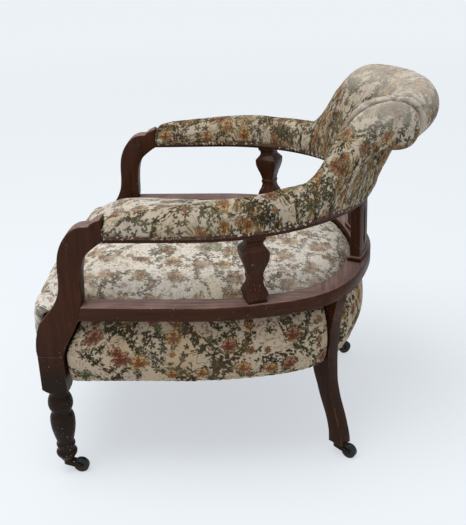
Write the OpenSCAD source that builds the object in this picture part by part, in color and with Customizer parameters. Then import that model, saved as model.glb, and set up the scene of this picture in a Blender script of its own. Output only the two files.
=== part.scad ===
// Low upholstered armchair with a horseshoe rail, open arms and a scroll back, on four castors.
// Plan shapes are drawn about the centre of the rail's rear curve, front toward -Y,
// and the whole chair is then moved so that its origin is the middle of its box, on the floor.

/* [Horseshoe rail] */
// Half width of the seat rail, to its outer face
bow_half_w = 303; // [280:1:330]
// Depth of the rail's rear curve, from the end of its straight sides
bow_rear = 334; // [300:1:370]
// Run of the straight sides, from the rear curve to the front of the posts
side_run = 288; // [260:1:320]
// Width of the seat rail, seen from above
rail_w = 38; // [34:1:44]
// Thickness of the seat rail
rail_t = 26; // [20:1:32]
// Height of the seat rail's top face
rail_top_z = 375; // [355:1:400]
// How much fuller than the arms' curve the seat rail is at its two rear quarters
rail_full = 20.5; // [0:0.5:24]
// Angle round the curve at which the rail's side and back pieces meet
rail_joint_a = 44; // [38:1:46]

/* [Arms] */
// Height of the arm rail's underside
arm_under_z = 501; // [485:1:520]
// Thickness of the arm rail
arm_rail_t = 24; // [18:1:30]
// Width of the arm rail, seen from above
arm_rail_w = 38; // [34:1:44]
// Thickness of the sawn arm posts, across the chair
post_t = 32; // [26:1:38]
// Height of an arm post's carved tip above the underside of the arm rail
post_tip_h = 41; // [34:1:46]
// Reach of an arm post, from its front face back to the arm rail
post_reach = 145; // [130:1:160]
// How far the posts' outer faces stand inside the rail's outer face
post_inset = 5; // [2:1:8]
// Width of a baluster across its belly
baluster_w = 47; // [40:1:52]
// Angle round the curve at which the balusters stand
baluster_a = 21.5; // [16:0.5:26]

/* [Legs] */
// Side of the square block on a front leg
block_w = 48; // [44:1:52]
// Height of the block's top, where the arm post stands
block_top_z = 270; // [262:1:280]
// Height of the block's lower end
block_low_z = 192; // [185:1:200]
// Greatest radius of the turned front leg
leg_turn_r = 24; // [20:0.5:25]
// Height of the legs' lower ends, above the castors
leg_low_z = 31; // [31:0.5:36]
// Angle round the curve at which the rear legs stand
rear_leg_a = 51; // [49:0.5:54]
// Width of a rear leg, along the rail
rear_leg_w = 26; // [22:1:30]
// Depth of a rear leg's curved shank, at its foot
rear_leg_d = 32; // [28:1:34]

/* [Back] */
// Half angle of the pierced splat, each side of the chair's middle
splat_half_a = 19; // [14:1:22]
// Thickness of the splat
splat_t = 20; // [14:1:24]
// Number of slots in the splat
splat_slots = 5; // [3:2:7]
// Width of one slot
slot_w = 14; // [8:1:18]
// Height of the back's padded crest
crest_z = 707; // [690:1:730]
// Radius of the scroll at the middle of the back
scroll_r = 45; // [38:1:48]
// Outward lean of the scroll's centre from the rail, at the middle of the back
scroll_lean = 73; // [60:1:85]

/* [Upholstery] */
// Radius of an arm pad's rounded top
arm_pad_r = 28; // [25:0.5:30]
// Height of the arm pads at their front ends
arm_pad_front_z = 556; // [553:1:566]
// Height of the arm pads where they meet the back
arm_pad_rear_z = 573; // [568:1:578]
// Height of the crown of the seat
seat_crown_z = 414; // [405:1:425]
// Height of the lower edge of the seat's fabric
seat_low_z = 210; // [206:1:212]
// How far the middle of the seat's front stands ahead of the posts
seat_bow = 31; // [22:1:36]
// Swell of the seat's side panels beyond the frame
side_swell = 29; // [22:1:32]

/* [Seat frame] */
// Height of the frame rails' underside
frame_low_z = 214; // [214:1:218]
// Depth of the frame rails
frame_h = 54; // [46:1:55]
// Thickness of the frame rails
frame_t = 28; // [22:1:32]
// Thickness of the webbing
web_t = 1.6; // [1:0.1:2]
// Width of one webbing strap
web_w = 50; // [40:1:55]
// Radius of a spring's end coils
spring_r = 40; // [34:1:42]
// Diameter of the spring wire
spring_wire = 4; // [3:0.25:4.5]

/* [Castors] */
// Radius of a castor wheel
wheel_r = 15; // [14:0.25:15.5]
// Width of a castor wheel
wheel_w = 12; // [10:0.5:14]
// Distance of the axle behind the swivel
castor_trail = 26.5; // [26.5:0.25:29]
// Radius of the castor's stem
stem_r = 4; // [3:0.25:4.5]
// Radius of the wheel's axle
axle_r = 1.6; // [1.2:0.1:2]

/* [Hidden] */

wood_dark = [0.22, 0.12, 0.09];
wood_red = [0.33, 0.17, 0.12];
wood_plain = [0.72, 0.58, 0.42];
fabric = [0.74, 0.69, 0.58];
jute = [0.66, 0.56, 0.40];
steel = [0.50, 0.50, 0.52];
brass_dark = [0.30, 0.24, 0.16];
black_cloth = [0.12, 0.12, 0.12];

// Fits
fit_gap = 0.05;
soft_gap = 0.3;
overrun = 1;

// Places of the seat frame's outer faces, from the rail's outer face: at the curve, at the sides
frame_in = 46.5;
frame_side_in = 40;
frame_off = -frame_in;
frame_side_off = -frame_side_in;
dust_t = 1.2;

// Derived heights
rail_low_z = rail_top_z - rail_t;
arm_top_z = arm_under_z + arm_rail_t;
frame_top_z = frame_low_z + frame_h;
post_h = arm_under_z + post_tip_h - block_top_z;

// The scroll's rear face and the seat's front face bound the chair's depth
rear_reach = bow_rear + scroll_lean + scroll_r;
front_reach = side_run + seat_bow;
plan_y = -(rear_reach - front_reach) / 2;

// The rear curve, at angle a from the left side: an ellipse for the arms, and for the seat rail
// and what lies under it the same curve, fuller by up to full at its two quarters
function ellipse_n(a) = let(v = [cos(a) / bow_half_w, sin(a) / bow_rear]) v / norm(v);
function curve(a, full) = [bow_half_w * cos(a), bow_rear * sin(a)] + full * pow(sin(2 * a), 4) * ellipse_n(a);
function bow_t(a, full = 0) = let(d = curve(a + 1, full) - curve(a - 1, full)) d / norm(d);
function bow_n(a, full = 0) = let(t = bow_t(a, full)) [t.y, -t.x];
// A point of the curve, moved outward by off
function bow_p(a, off, full = 0) = curve(a, full) + off * bow_n(a, full);
function bow_run(a0, a1, off, steps, full = 0) = [for (i = [0:steps]) bow_p(mix(a0, a1, i / steps), off, full)];
function turned(list) = [for (i = [len(list) - 1:-1:0]) list[i]];
function mix(p, q, t) = p * (1 - t) + q * t;
function ease(t) = let(c = min(max(t, 0), 1)) c * c * (3 - 2 * c);

// A smooth line through points, with three steps between each pair
function knot(p, i) = p[min(max(i, 0), len(p) - 1)];
function spline(p, steps = 3) = concat(
    [for (i = [0:len(p) - 2], k = [0:steps - 1])
        let(t = k / steps, a = knot(p, i - 1), b = knot(p, i), c = knot(p, i + 1), d = knot(p, i + 2))
        (2 * b + (c - a) * t + (2 * a - 5 * b + 4 * c - d) * t * t
            + (3 * b - a - 3 * c + d) * t * t * t) / 2],
    [p[len(p) - 1]]);

// Triangles between rings of points that each hold the same number of points
function ring_faces(rings) = let(count = len(rings[0])) concat(
    [for (r = [0:len(rings) - 2], i = [0:count - 1])
        [r * count + i, (r + 1) * count + i, (r + 1) * count + (i + 1) % count]],
    [for (r = [0:len(rings) - 2], i = [0:count - 1])
        [r * count + i, (r + 1) * count + (i + 1) % count, r * count + (i + 1) % count]]);
function mean(list) = [for (p = list) 1] * list / len(list);

// A closed skin over rings, from the first to the last, with flat ends
module skin(rings) {
    count = len(rings[0]);
    last = (len(rings) - 1) * count;
    polyhedron(points = [for (ring = rings, p = ring) p],
        faces = concat(ring_faces(rings), [[for (i = [0:count - 1]) i]],
            [[for (i = [count - 1:-1:0]) last + i]]),
        convexity = 8);
}

// The same, with each end a fan of triangles about its middle
module fan_skin(rings) {
    count = len(rings[0]);
    last = (len(rings) - 1) * count;
    first_mid = last + count;
    polyhedron(
        points = concat([for (ring = rings, p = ring) p], [mean(rings[0]), mean(rings[len(rings) - 1])]),
        faces = concat(ring_faces(rings),
            [for (i = [0:count - 1]) [first_mid, i, (i + 1) % count]],
            [for (i = [0:count - 1]) [first_mid + 1, last + (i + 1) % count, last + i]]),
        convexity = 8);
}

module placed() translate([0, plan_y, 0]) children();
module right() placed() mirror([1, 0, 0]) children();
module left() placed() children();

// A bar that follows the rear curve, from angle a0 to a1
bar_step_a = 4;
module curved_bar(a0, a1, off_out, off_in, z0, t, full = 0) {
    steps = ceil(abs(a1 - a0) / bar_step_a);
    translate([0, 0, z0]) linear_extrude(t)
        polygon(concat(bow_run(a0, a1, off_out, steps, full), turned(bow_run(a0, a1, off_in, steps, full))));
}

// A side bar: the straight run from y_start, then the curve to angle a1
module side_bar(y_start, a1, off_out, off_in, z0, t, full = 0) {
    steps = ceil(a1 / bar_step_a);
    translate([0, 0, z0]) linear_extrude(t)
        polygon(concat([[bow_half_w + off_out, y_start]], bow_run(0, a1, off_out, steps, full),
            turned(bow_run(0, a1, off_in, steps, full)), [[bow_half_w + off_in, y_start]]));
}

// Dowels: those along the rails lie level, across the joint at angle a
dowel_r = 4;
dowel_len = 40;
rail_dowel_in = 11;
module rail_dowel_at(off, z, r, len, full) {
    p = bow_p(rail_joint_a, off, full);
    t = bow_t(rail_joint_a, full);
    translate([p.x, p.y, z]) rotate([0, 0, atan2(t.y, t.x)])
        rotate([0, 90, 0]) cylinder(r = r, h = len, center = true, $fn = 32);
}
module rail_dowels(r, len, off_mid, z, full = 0) {
    for (s = [-1, 1]) rail_dowel_at(off_mid + s * rail_dowel_in, z, r, len, full);
}
module post_dowel(r, grow = 0) {
    translate([leg_x, leg_y, block_top_z - dowel_len / 2 - grow])
        cylinder(r = r, h = dowel_len + 2 * grow, $fn = 32);
}
module arm_dowel(r, grow = 0) {
    translate([post_x, post_back_y - dowel_len / 2 - grow, arm_under_z + arm_rail_t / 2])
        rotate([-90, 0, 0]) cylinder(r = r, h = dowel_len + 2 * grow, $fn = 32);
}
dowel_clear = 1;

// Front legs: square block, turned shank, drilled for the castor's stem
post_out_x = bow_half_w - post_inset;
post_x = post_out_x - post_t / 2;
leg_x = post_out_x - block_w / 2;
leg_y = -side_run + block_w / 2;
turn_h = block_low_z - leg_low_z;
block_bevel = 2;
// Shares of the turned height and of the greatest radius, from the foot up
leg_foot_shares = [[0, 0.50], [0.02, 0.60], [0.055, 0.76], [0.08, 0.84], [0.105, 0.86]];
leg_cove_shares = [[0.125, 0.80], [0.145, 0.71], [0.170, 0.70], [0.190, 0.73]];
leg_ring_shares = [[0.205, 0.77], [0.225, 0.76], [0.240, 0.70]];
leg_vase_shares = [[0.265, 0.69], [0.355, 0.84], [0.455, 0.97], [0.53, 1.0], [0.57, 1.0]];
leg_vase_top_shares = [[0.585, 0.96], [0.60, 0.985], [0.64, 0.91], [0.665, 0.79]];
leg_neck_shares = [[0.675, 0.78], [0.695, 0.79], [0.715, 0.86]];
leg_ball_shares = [[0.73, 0.92], [0.765, 0.99], [0.80, 1.0], [0.83, 0.985]];
leg_ball_top_shares = [[0.84, 0.94], [0.855, 0.95], [0.885, 0.88], [0.915, 0.78]];
leg_top_shares = [[0.93, 0.77], [0.955, 0.79], [0.985, 0.90], [1.0, 0.96]];
stem_len = 22;
stem_spare = 1;

module stem_bore() {
    translate([0, 0, leg_low_z - overrun])
        cylinder(r = stem_r + fit_gap, h = stem_len + stem_spare + overrun, $fn = 48);
}

module front_leg() {
    runs = concat(spline(leg_foot_shares, 2), leg_cove_shares, leg_ring_shares,
        spline(leg_vase_shares, 2), leg_vase_top_shares, leg_neck_shares,
        spline(leg_ball_shares, 2), leg_ball_top_shares, leg_top_shares);
    side = [for (s = runs) [s.y * leg_turn_r, leg_low_z + s.x * turn_h]];
    difference() {
        union() {
            translate([leg_x, leg_y, 0])
                rotate_extrude($fn = 64) polygon(concat([[0, leg_low_z]], side, [[0, block_low_z]]));
            translate([leg_x, leg_y, 0]) block_body();
        }
        translate([leg_x, leg_y, 0]) stem_bore();
        post_dowel(dowel_r + fit_gap, dowel_clear);
    }
}

// The block, with its lower edges taken off all round
module block_body() {
    cone_h = block_top_z - block_low_z;
    intersection() {
        translate([-block_w / 2, -block_w / 2, block_low_z]) cube([block_w, block_w, cone_h]);
        translate([0, 0, block_low_z])
            cylinder(r1 = block_w / 2 + block_bevel, r2 = block_w / 2 + block_bevel + cone_h,
                h = cone_h, $fn = 64);
    }
}

// Arm posts: shares of the reach behind the front face, and of the height above the block
post_front_shares = [[0, 0], [-0.010, 0.05], [0.010, 0.14], [0.055, 0.225]];
post_neck_shares = [[0.075, 0.25], [0.20, 0.325], [0.29, 0.39], [0.365, 0.48], [0.39, 0.58], [0.395, 0.67],
    [0.42, 0.76], [0.485, 0.845], [0.59, 0.915], [0.70, 0.948], [0.81, 0.953]];
post_tip_shares = [[0.84, 0.955], [0.865, 0.972], [0.93, 0.99], [0.985, 1.0], [1.0, 0.98]];
post_under_shares = [[0.94, 0.832], [0.86, 0.80], [0.775, 0.76], [0.715, 0.71], [0.68, 0.64],
    [0.662, 0.55], [0.655, 0.456], [0.64, 0.386], [0.59, 0.283], [0.49, 0.176], [0.385, 0.08]];
post_front_y = -side_run;
post_back_y = post_front_y + post_reach;
post_foot_share = block_w / post_reach;
arm_under_share = (arm_under_z - block_top_z) / post_h;
// The post's rear edge meets the underside of the seat rail at this share of its reach
rail_meet_share = 0.59;
rail_meet_y = post_front_y + rail_meet_share * post_reach;
rail_tenon_len = 10;
rail_tenon_w = 12;
rail_tenon_h = 16;

function post_point(s) = [post_front_y + s.x * post_reach, block_top_z + s.y * post_h];

// The post's sawn outline, from x0 over a thickness of t
module post_slab(x0, t) {
    outline = [for (s = concat(spline(post_front_shares, 2), spline(post_neck_shares), post_tip_shares,
        [[1.0, arm_under_share]], spline(post_under_shares), [[post_foot_share, 0]])) post_point(s)];
    translate([x0, 0, 0]) rotate([90, 0, 90]) linear_extrude(t) polygon(outline);
}

// The seat rail's tenon, or with a clearance the mortise for it in the post
module rail_tenon(clear) {
    translate([post_x - rail_tenon_w / 2 - clear, rail_meet_y - rail_tenon_len - clear,
        rail_low_z + (rail_t - rail_tenon_h) / 2 - clear])
        cube([rail_tenon_w + 2 * clear, 2 * rail_tenon_len, rail_tenon_h + 2 * clear]);
}

module arm_post() {
    difference() {
        post_slab(post_out_x - post_t, post_t);
        rail_tenon(fit_gap);
        post_dowel(dowel_r + fit_gap, dowel_clear);
        arm_dowel(dowel_r + fit_gap, dowel_clear);
    }
}

// Balusters: square in section; shares of the height and of half the belly's width
baluster_h = arm_under_z - rail_top_z;
baluster_shares = [[0, 0.74], [0.045, 0.79], [0.09, 0.86], [0.135, 0.86], [0.19, 0.78], [0.245, 0.63],
    [0.30, 0.56], [0.335, 0.55], [0.345, 0.60], [0.385, 0.60], [0.395, 0.55], [0.45, 0.60], [0.53, 0.72],
    [0.61, 0.87], [0.68, 0.97], [0.74, 1.0], [0.78, 1.0], [0.80, 0.93], [0.865, 0.66], [0.90, 0.62],
    [0.935, 0.66], [0.96, 0.77], [1.0, 0.79]];
tenon_r = 7;
tenon_len = 14;

module baluster_view() {
    right_side = [for (s = baluster_shares) [s.y * baluster_w / 2, s.x * baluster_h]];
    left_side = [for (p = turned(right_side)) [-p.x, p.y]];
    rotate([90, 0, 0]) linear_extrude(2 * baluster_w, center = true)
        polygon(concat(right_side, left_side));
}

module on_baluster(z) {
    p = bow_p(baluster_a, -rail_w / 2);
    n = bow_n(baluster_a);
    translate([p.x, p.y, z]) rotate([0, 0, atan2(n.y, n.x)]) children();
}

module baluster() {
    on_baluster(rail_top_z) {
        intersection() {
            baluster_view();
            rotate([0, 0, 90]) baluster_view();
        }
        translate([0, 0, -tenon_len]) cylinder(r = tenon_r, h = tenon_len + overrun, $fn = 32);
        translate([0, 0, baluster_h - overrun]) cylinder(r = tenon_r, h = tenon_len + overrun, $fn = 32);
    }
}

module baluster_bore(z, depth) {
    on_baluster(z) cylinder(r = tenon_r + fit_gap, h = depth, $fn = 32);
}

// Seat rail, in three pieces
module seat_bow_side() {
    difference() {
        side_bar(rail_meet_y, rail_joint_a, 0, -rail_w, rail_low_z, rail_t, rail_full);
        post_slab(bow_half_w - rail_w - overrun, rail_w + 2 * overrun);
        baluster_bore(rail_top_z - tenon_len - dowel_clear, tenon_len + dowel_clear + overrun);
        rail_dowels(dowel_r + fit_gap, dowel_len + 2 * dowel_clear, -rail_w / 2, rail_low_z + rail_t / 2,
            rail_full);
    }
    rail_tenon(0);
}
module both_sides() {
    children();
    mirror([1, 0, 0]) children();
}
module seat_bow_back() {
    difference() {
        curved_bar(rail_joint_a, 180 - rail_joint_a, 0, -rail_w, rail_low_z, rail_t, rail_full);
        both_sides() rail_dowels(dowel_r + fit_gap, dowel_len + 2 * dowel_clear, -rail_w / 2,
            rail_low_z + rail_t / 2, rail_full);
    }
}

// Arm rail, in three pieces above the seat rail
module arm_rail_side() {
    difference() {
        side_bar(post_back_y, rail_joint_a, 0, -arm_rail_w, arm_under_z, arm_rail_t);
        baluster_bore(arm_under_z - overrun, tenon_len + dowel_clear + overrun);
        rail_dowels(dowel_r + fit_gap, dowel_len + 2 * dowel_clear, -arm_rail_w / 2,
            arm_under_z + arm_rail_t / 2);
        arm_dowel(dowel_r + fit_gap, dowel_clear);
    }
}
module arm_rail_back() {
    difference() {
        curved_bar(rail_joint_a, 180 - rail_joint_a, 0, -arm_rail_w, arm_under_z, arm_rail_t);
        both_sides() rail_dowels(dowel_r + fit_gap, dowel_len + 2 * dowel_clear, -arm_rail_w / 2,
            arm_under_z + arm_rail_t / 2);
    }
}

module dowels() {
    both_sides() {
        rail_dowels(dowel_r, dowel_len, -rail_w / 2, rail_low_z + rail_t / 2, rail_full);
        rail_dowels(dowel_r, dowel_len, -arm_rail_w / 2, arm_under_z + arm_rail_t / 2);
        post_dowel(dowel_r);
        arm_dowel(dowel_r);
    }
}

// Rear legs: sabre shape in the upright plane that faces out at the leg's place on the rail.
// Shares of the height, and each edge's place outward from the rail's face in shares of the depth
rear_leg_h = rail_low_z - leg_low_z;
rear_outer_shares = [[0, 0.39], [0.05, 0.34], [0.116, 0.18], [0.179, 0.0], [0.236, -0.20], [0.292, -0.40],
    [0.352, -0.54], [0.403, -0.64], [0.472, -0.67], [0.541, -0.68], [0.62, -0.66], [0.679, -0.63],
    [0.786, -0.50], [0.858, -0.36], [0.931, -0.17], [1, 0.0]];
rear_inner_shares = [[0, -0.64], [0.055, -0.65], [0.10, -0.70], [0.176, -0.89], [0.239, -1.14],
    [0.311, -1.42], [0.374, -1.61], [0.443, -1.86], [0.497, -1.96], [0.55, -2.02]];
castor_rear_share = -0.28;
// The leg's shoulder lies below the inner frame, and its upper part stands against the frame
rear_shoulder_z = frame_low_z - 2 * web_t - dust_t - soft_gap;
rear_deep_off = -2.02 * rear_leg_d;
rear_span_a = 14;
rear_p = curve(rear_leg_a, rail_full);
rear_n = ellipse_n(rear_leg_a);
rear_t = [-rear_n.y, rear_n.x];

module on_rear_leg() {
    translate([rear_p.x, rear_p.y, 0]) rotate([0, 0, atan2(rear_n.y, rear_n.x)]) children();
}

function rear_point(s) = [s.y * rear_leg_d, leg_low_z + s.x * rear_leg_h];

module rear_leg() {
    outer = spline([for (s = rear_outer_shares) rear_point(s)], 2);
    inner = spline([for (s = turned(rear_inner_shares)) rear_point(s)], 2);
    difference() {
        on_rear_leg() rotate([90, 0, 0]) linear_extrude(rear_leg_w, center = true)
            polygon(concat(outer, [[rear_deep_off, rail_low_z]], inner));
        curved_bar(rear_leg_a - rear_span_a, rear_leg_a + rear_span_a, frame_off + soft_gap,
            frame_off - 2 * frame_t, rear_shoulder_z, rail_low_z - rear_shoulder_z + overrun, rail_full);
        curved_bar(rear_leg_a - rear_span_a, rear_leg_a + rear_span_a, cushion_off + 2 * soft_gap,
            frame_off - frame_t, cushion_low_z - 2 * soft_gap,
            rail_low_z - cushion_low_z + 2 * soft_gap + overrun, rail_full);
        on_rear_leg() translate([castor_rear_share * rear_leg_d, 0, 0]) stem_bore();
        on_rear_leg() leg_screw_pair(screw_r + fit_gap, 0, dowel_clear);
    }
}

// Screws from inside the frame into the rear legs
screw_r = 2.5;
screw_head_r = 5;
screw_head_h = 3;
screw_in_leg = 20;
screw_seat = 2;
screw_z_shares = [0.3, 0.7];
module leg_screw_pair(r, head_r, grow = 0) {
    for (s = screw_z_shares) translate([frame_off - frame_t + screw_seat, 0, frame_low_z + s * frame_h])
        rotate([0, 90, 0]) {
            cylinder(r = r, h = frame_t + screw_in_leg + grow, $fn = 24);
            if (head_r > 0) translate([0, 0, -screw_head_h]) cylinder(r = head_r, h = screw_head_h, $fn = 24);
        }
}
module leg_screws() both_sides() on_rear_leg() leg_screw_pair(screw_r, screw_head_r);

// Splat: a curved board with a flared foot, pierced by upright slots with pointed ends
splat_h = arm_under_z - rail_top_z;
splat_in = 8;
splat_off = -splat_in;
splat_foot_h = 9;
splat_foot_a = 1.2;
splat_foot_out = 4;
slot_low = 24;
slot_high = 20;
module slot_cut(a) {
    p = bow_p(a, splat_off);
    n = bow_n(a);
    mid = splat_h - slot_low - slot_high;
    translate([p.x, p.y, rail_top_z + slot_low]) rotate([0, 0, atan2(n.y, n.x)])
        rotate([90, 0, 90]) linear_extrude(3 * splat_t, center = true)
            polygon([[0, 0], [slot_w / 2, slot_w], [slot_w / 2, mid - slot_w], [0, mid],
                [-slot_w / 2, mid - slot_w], [-slot_w / 2, slot_w]]);
}
module back_splat() {
    a0 = 90 - splat_half_a;
    a1 = 90 + splat_half_a;
    gap_a = 2 * splat_half_a / (splat_slots + 1);
    difference() {
        union() {
            curved_bar(a0, a1, splat_off, splat_off - splat_t, rail_top_z, splat_h);
            curved_bar(a0 - splat_foot_a, a1 + splat_foot_a, splat_off + splat_foot_out,
                splat_off - splat_t - splat_foot_out, rail_top_z, splat_foot_h);
        }
        for (i = [1:splat_slots]) slot_cut(a0 + i * gap_a);
    }
}

// Seat frame, below the rail and inside the fabric
module frame_rail_side() {
    x_out = bow_half_w + frame_side_off;
    y0 = leg_y + block_w / 2;
    translate([x_out - frame_t, y0, frame_low_z]) cube([frame_t, -y0, frame_h]);
}
front_rail_in = 8;
front_rail_y = -side_run + front_rail_in;
module frame_rail_front() {
    half = leg_x - block_w / 2;
    translate([-half, front_rail_y, frame_low_z]) cube([2 * half, frame_t, frame_h]);
}
module frame_rail_back() {
    difference() {
        curved_bar(0, 180, frame_off, frame_off - frame_t, frame_low_z, frame_h, rail_full);
        both_sides() on_rear_leg() leg_screw_pair(screw_r + fit_gap, screw_head_r + soft_gap);
    }
}

// Corner blocks: triangles glued in the frame's front corners and behind its side joints
block_leg = 60;
block_h = 40;
module corner_blocks() {
    x_in = bow_half_w + frame_side_off - frame_t;
    y_in = front_rail_y + frame_t;
    both_sides() translate([x_in, y_in, frame_low_z + (frame_h - block_h) / 2]) linear_extrude(block_h)
        polygon([[0, 0], [-block_leg, 0], [0, block_leg]]);
}

// Webbing under the frame, two layers of straps
strap_count = 4;
function half_width_at(y, off) = y < 0 ? bow_half_w + off
    : lookup(y, [for (a = [0:3:90]) let(p = bow_p(a, off, rail_full)) [p.y, p.x]]);
function reach_at(x, off) = lookup(x, [for (a = [90:-3:0]) bow_p(a, off, rail_full)]);
web_in = 9;
web_off = frame_off - web_in;
web_front_y = front_rail_y + web_in;
module seat_webbing() {
    pitch_y = (bow_rear + web_off - web_front_y - 2 * web_w) / strap_count;
    for (i = [1:strap_count]) {
        y = web_front_y + web_w / 2 + (i - 1 / 2) * pitch_y;
        half = min(half_width_at(y, web_off), half_width_at(y + web_w, web_off));
        translate([-half, y, frame_low_z - web_t]) cube([2 * half, web_w, web_t]);
    }
    for (i = [1:strap_count]) {
        x_mid = (i - (strap_count + 1) / 2) * web_pitch_x;
        rear = reach_at(abs(x_mid) + web_w / 2, web_off);
        translate([x_mid - web_w / 2, web_front_y, frame_low_z - 2 * web_t])
            cube([web_w, rear - web_front_y, web_t]);
    }
}
web_pitch_x = 105;

// Springs: hourglass coils that stand on the webbing
canvas_drop = 6;
canvas_z = rail_low_z - canvas_drop;
canvas_t = 1.5;
spring_turns = 4;
spring_sides = 4;
spring_ring_steps = 8;
spring_waist_share = 0.7;
spring_ahead = 20;
spring_mid_y = -spring_ahead;
spring_pitch_y = 150;
spring_pitch_x = 130;
function spring_point(t, h) = let(
    r = spring_r * (spring_waist_share + (1 - spring_waist_share) * pow(2 * t - 1, 2)))
    [r * cos(360 * spring_turns * t), r * sin(360 * spring_turns * t), spring_wire / 2 + t * (h - spring_wire)];
module seat_spring(h) {
    steps = spring_turns * spring_ring_steps;
    skin([for (k = [0:steps]) let(t = k / steps, c = spring_point(t, h), w = 360 * spring_turns * t)
        [for (j = [0:spring_sides - 1]) let(q = 360 * j / spring_sides)
            c + spring_wire / 2 * [cos(q) * cos(w), cos(q) * sin(w), sin(q)]]]);
}
module seat_springs() {
    for (j = [-1:1], i = [-1:1])
        translate([i * spring_pitch_x, spring_mid_y + j * spring_pitch_y, frame_low_z])
            seat_spring(canvas_z - frame_low_z);
}

// Canvas over the springs, and the dust cover below the webbing
module seat_sheet(off, y_front, z0, t) {
    translate([0, 0, z0]) linear_extrude(t)
        polygon(concat([[bow_half_w + off, y_front]], bow_run(0, 180, off, 36, rail_full),
            [[-bow_half_w - off, y_front]]));
}
sheet_in = 3;
module spring_canvas() {
    seat_sheet(frame_off - sheet_in, front_rail_y + sheet_in, canvas_z, canvas_t);
}
module dust_cover() {
    z0 = frame_low_z - 2 * web_t - dust_t;
    corner_x = leg_x - block_w / 2 - soft_gap;
    difference() {
        seat_sheet(frame_off - sheet_in, front_rail_y + sheet_in, z0, dust_t);
        both_sides() translate([corner_x, -side_run, z0 - overrun])
            cube([block_w, block_w + soft_gap, dust_t + 2 * overrun]);
    }
}

// Seat borders: the padded bands round the frame, under the rail.
// Each section is a flat back against the frame and a swelling face.
// Shares of the band's height, and of the swell
border_shares = [[0, 0.55], [0.02, 0.66], [0.10, 0.80], [0.24, 0.96], [0.42, 1.0], [0.60, 0.96],
    [0.76, 0.82], [0.88, 0.60], [0.96, 0.34], [1.0, 0.12]];
border_top_z = canvas_z + canvas_t;
border_clear = 1;
border_back_off = frame_side_off + border_clear;
border_curve_off = frame_off + border_clear;
function border_section(back_off, swell) = concat(
    [for (s = border_shares) [back_off + s.y * swell, mix(seat_low_z, border_top_z, s.x)]],
    [[back_off, border_top_z], [back_off, seat_low_z]]);
// The rear edge of the post, and below it the block, that a side band ends against
function post_edge_y(z) = z < block_top_z ? leg_y + block_w / 2
    : max(leg_y + block_w / 2, post_front_y + post_reach * lookup((z - block_top_z) / post_h,
        [for (s = concat(turned(post_under_shares), [[1, arm_under_share]])) [s.y, s.x]]));
band_gap = 2;
function ring_at_y(section, y) = [for (s = section) [bow_half_w + s.x, y, s.y]];
function ring_at_post(section) = [for (s = section) [bow_half_w + s.x, post_edge_y(s.y) + band_gap, s.y]];
function ring_at_a(section, a, full = 0) = [for (s = section) let(p = bow_p(a, s.x, full)) [p.x, p.y, s.y]];
// A ring beside the rear leg, parallel to the leg's side face: side is -1 before the leg, 1 behind
function leg_edge_a(off, side) = lookup(side * (rear_leg_w / 2 + band_gap),
    [for (a = [rear_leg_a - rear_span_a:rear_leg_a + rear_span_a])
        [(bow_p(a, off, rail_full) - rear_p) * rear_t, a]]);
function ring_at_leg(section, side) = [for (s = section)
    let(p = bow_p(leg_edge_a(s.x, side), s.x, rail_full)) [p.x, p.y, s.y]];
band_step_a = 4;
back_band_steps = 16;
band_side_shares = [0.3, 0.65, 1];
// The band is fullest beside the post, and eases to its even swell at the rail's curve
post_swell = 9;
function side_section(t) = border_section(border_back_off,
    side_swell - (border_back_off - border_curve_off) + post_swell * pow(1 - t, 2));
module seat_border_side() {
    section = border_section(border_curve_off, side_swell);
    last = leg_edge_a(border_curve_off, -1) - band_step_a / 2;
    fan_skin(turned(concat([ring_at_post(side_section(0))],
        [for (t = band_side_shares) ring_at_y(side_section(t), mix(post_edge_y(rail_low_z), 0, t))],
        [for (a = [band_step_a:band_step_a:last]) ring_at_a(section, a, rail_full)],
        [ring_at_leg(section, -1)])));
}
module seat_border_back() {
    section = border_section(border_curve_off, side_swell);
    first = leg_edge_a(border_curve_off, 1) + band_step_a;
    other = [for (p = ring_at_leg(section, 1)) [-p.x, p.y, p.z]];
    fan_skin(turned(concat([ring_at_leg(section, 1)],
        [for (i = [0:back_band_steps])
            ring_at_a(section, mix(first, 180 - first, i / back_band_steps), rail_full)],
        [other])));
}

// The seat's front in plan: shares of its half width, and of the bow ahead of the posts
front_plan_shares = [[0, 1], [0.12, 0.99], [0.35, 0.93], [0.6, 0.79], [0.8, 0.60], [0.93, 0.36], [1, 0.10]];
function front_bow(f) = seat_bow * lookup(abs(f), front_plan_shares);
front_steps = [-1, -0.93, -0.8, -0.6, -0.35, -0.12, 0.12, 0.35, 0.6, 0.8, 0.93, 1];
// Front band, bowed forward between the leg blocks: shares of its height, and of its depth
front_band_shares = [[0, 0.80], [0.02, 0.84], [0.10, 0.90], [0.24, 0.96], [0.42, 1.0], [0.60, 1.0],
    [0.76, 0.99], [0.88, 0.97], [0.96, 0.94], [1.0, 0.90]];
front_back_y = front_rail_y - soft_gap;
// Above the leg blocks the band is wider, and reaches from post to post
front_wide_rise = 1;
front_wide_z = block_top_z + soft_gap;
function front_band_z(s) = mix(seat_low_z, border_top_z, s.x);
front_levels = concat(
    [for (s = front_band_shares) if (front_band_z(s) < front_wide_z) front_band_z(s)],
    [front_wide_z, front_wide_z + front_wide_rise],
    [for (s = front_band_shares) if (front_band_z(s) > front_wide_z + front_wide_rise) front_band_z(s)]);
module seat_border_front() {
    fan_skin(turned([for (z = front_levels) let(
        half = (z > front_wide_z ? post_out_x - post_t : leg_x - block_w / 2) - soft_gap,
        share = lookup((z - seat_low_z) / (border_top_z - seat_low_z), front_band_shares)) concat(
            [for (f = front_steps)
                [f * half, front_back_y - share * (front_back_y + side_run + front_bow(f)), z]],
            [[half, front_back_y, z], [-half, front_back_y, z]])]));
}

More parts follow.
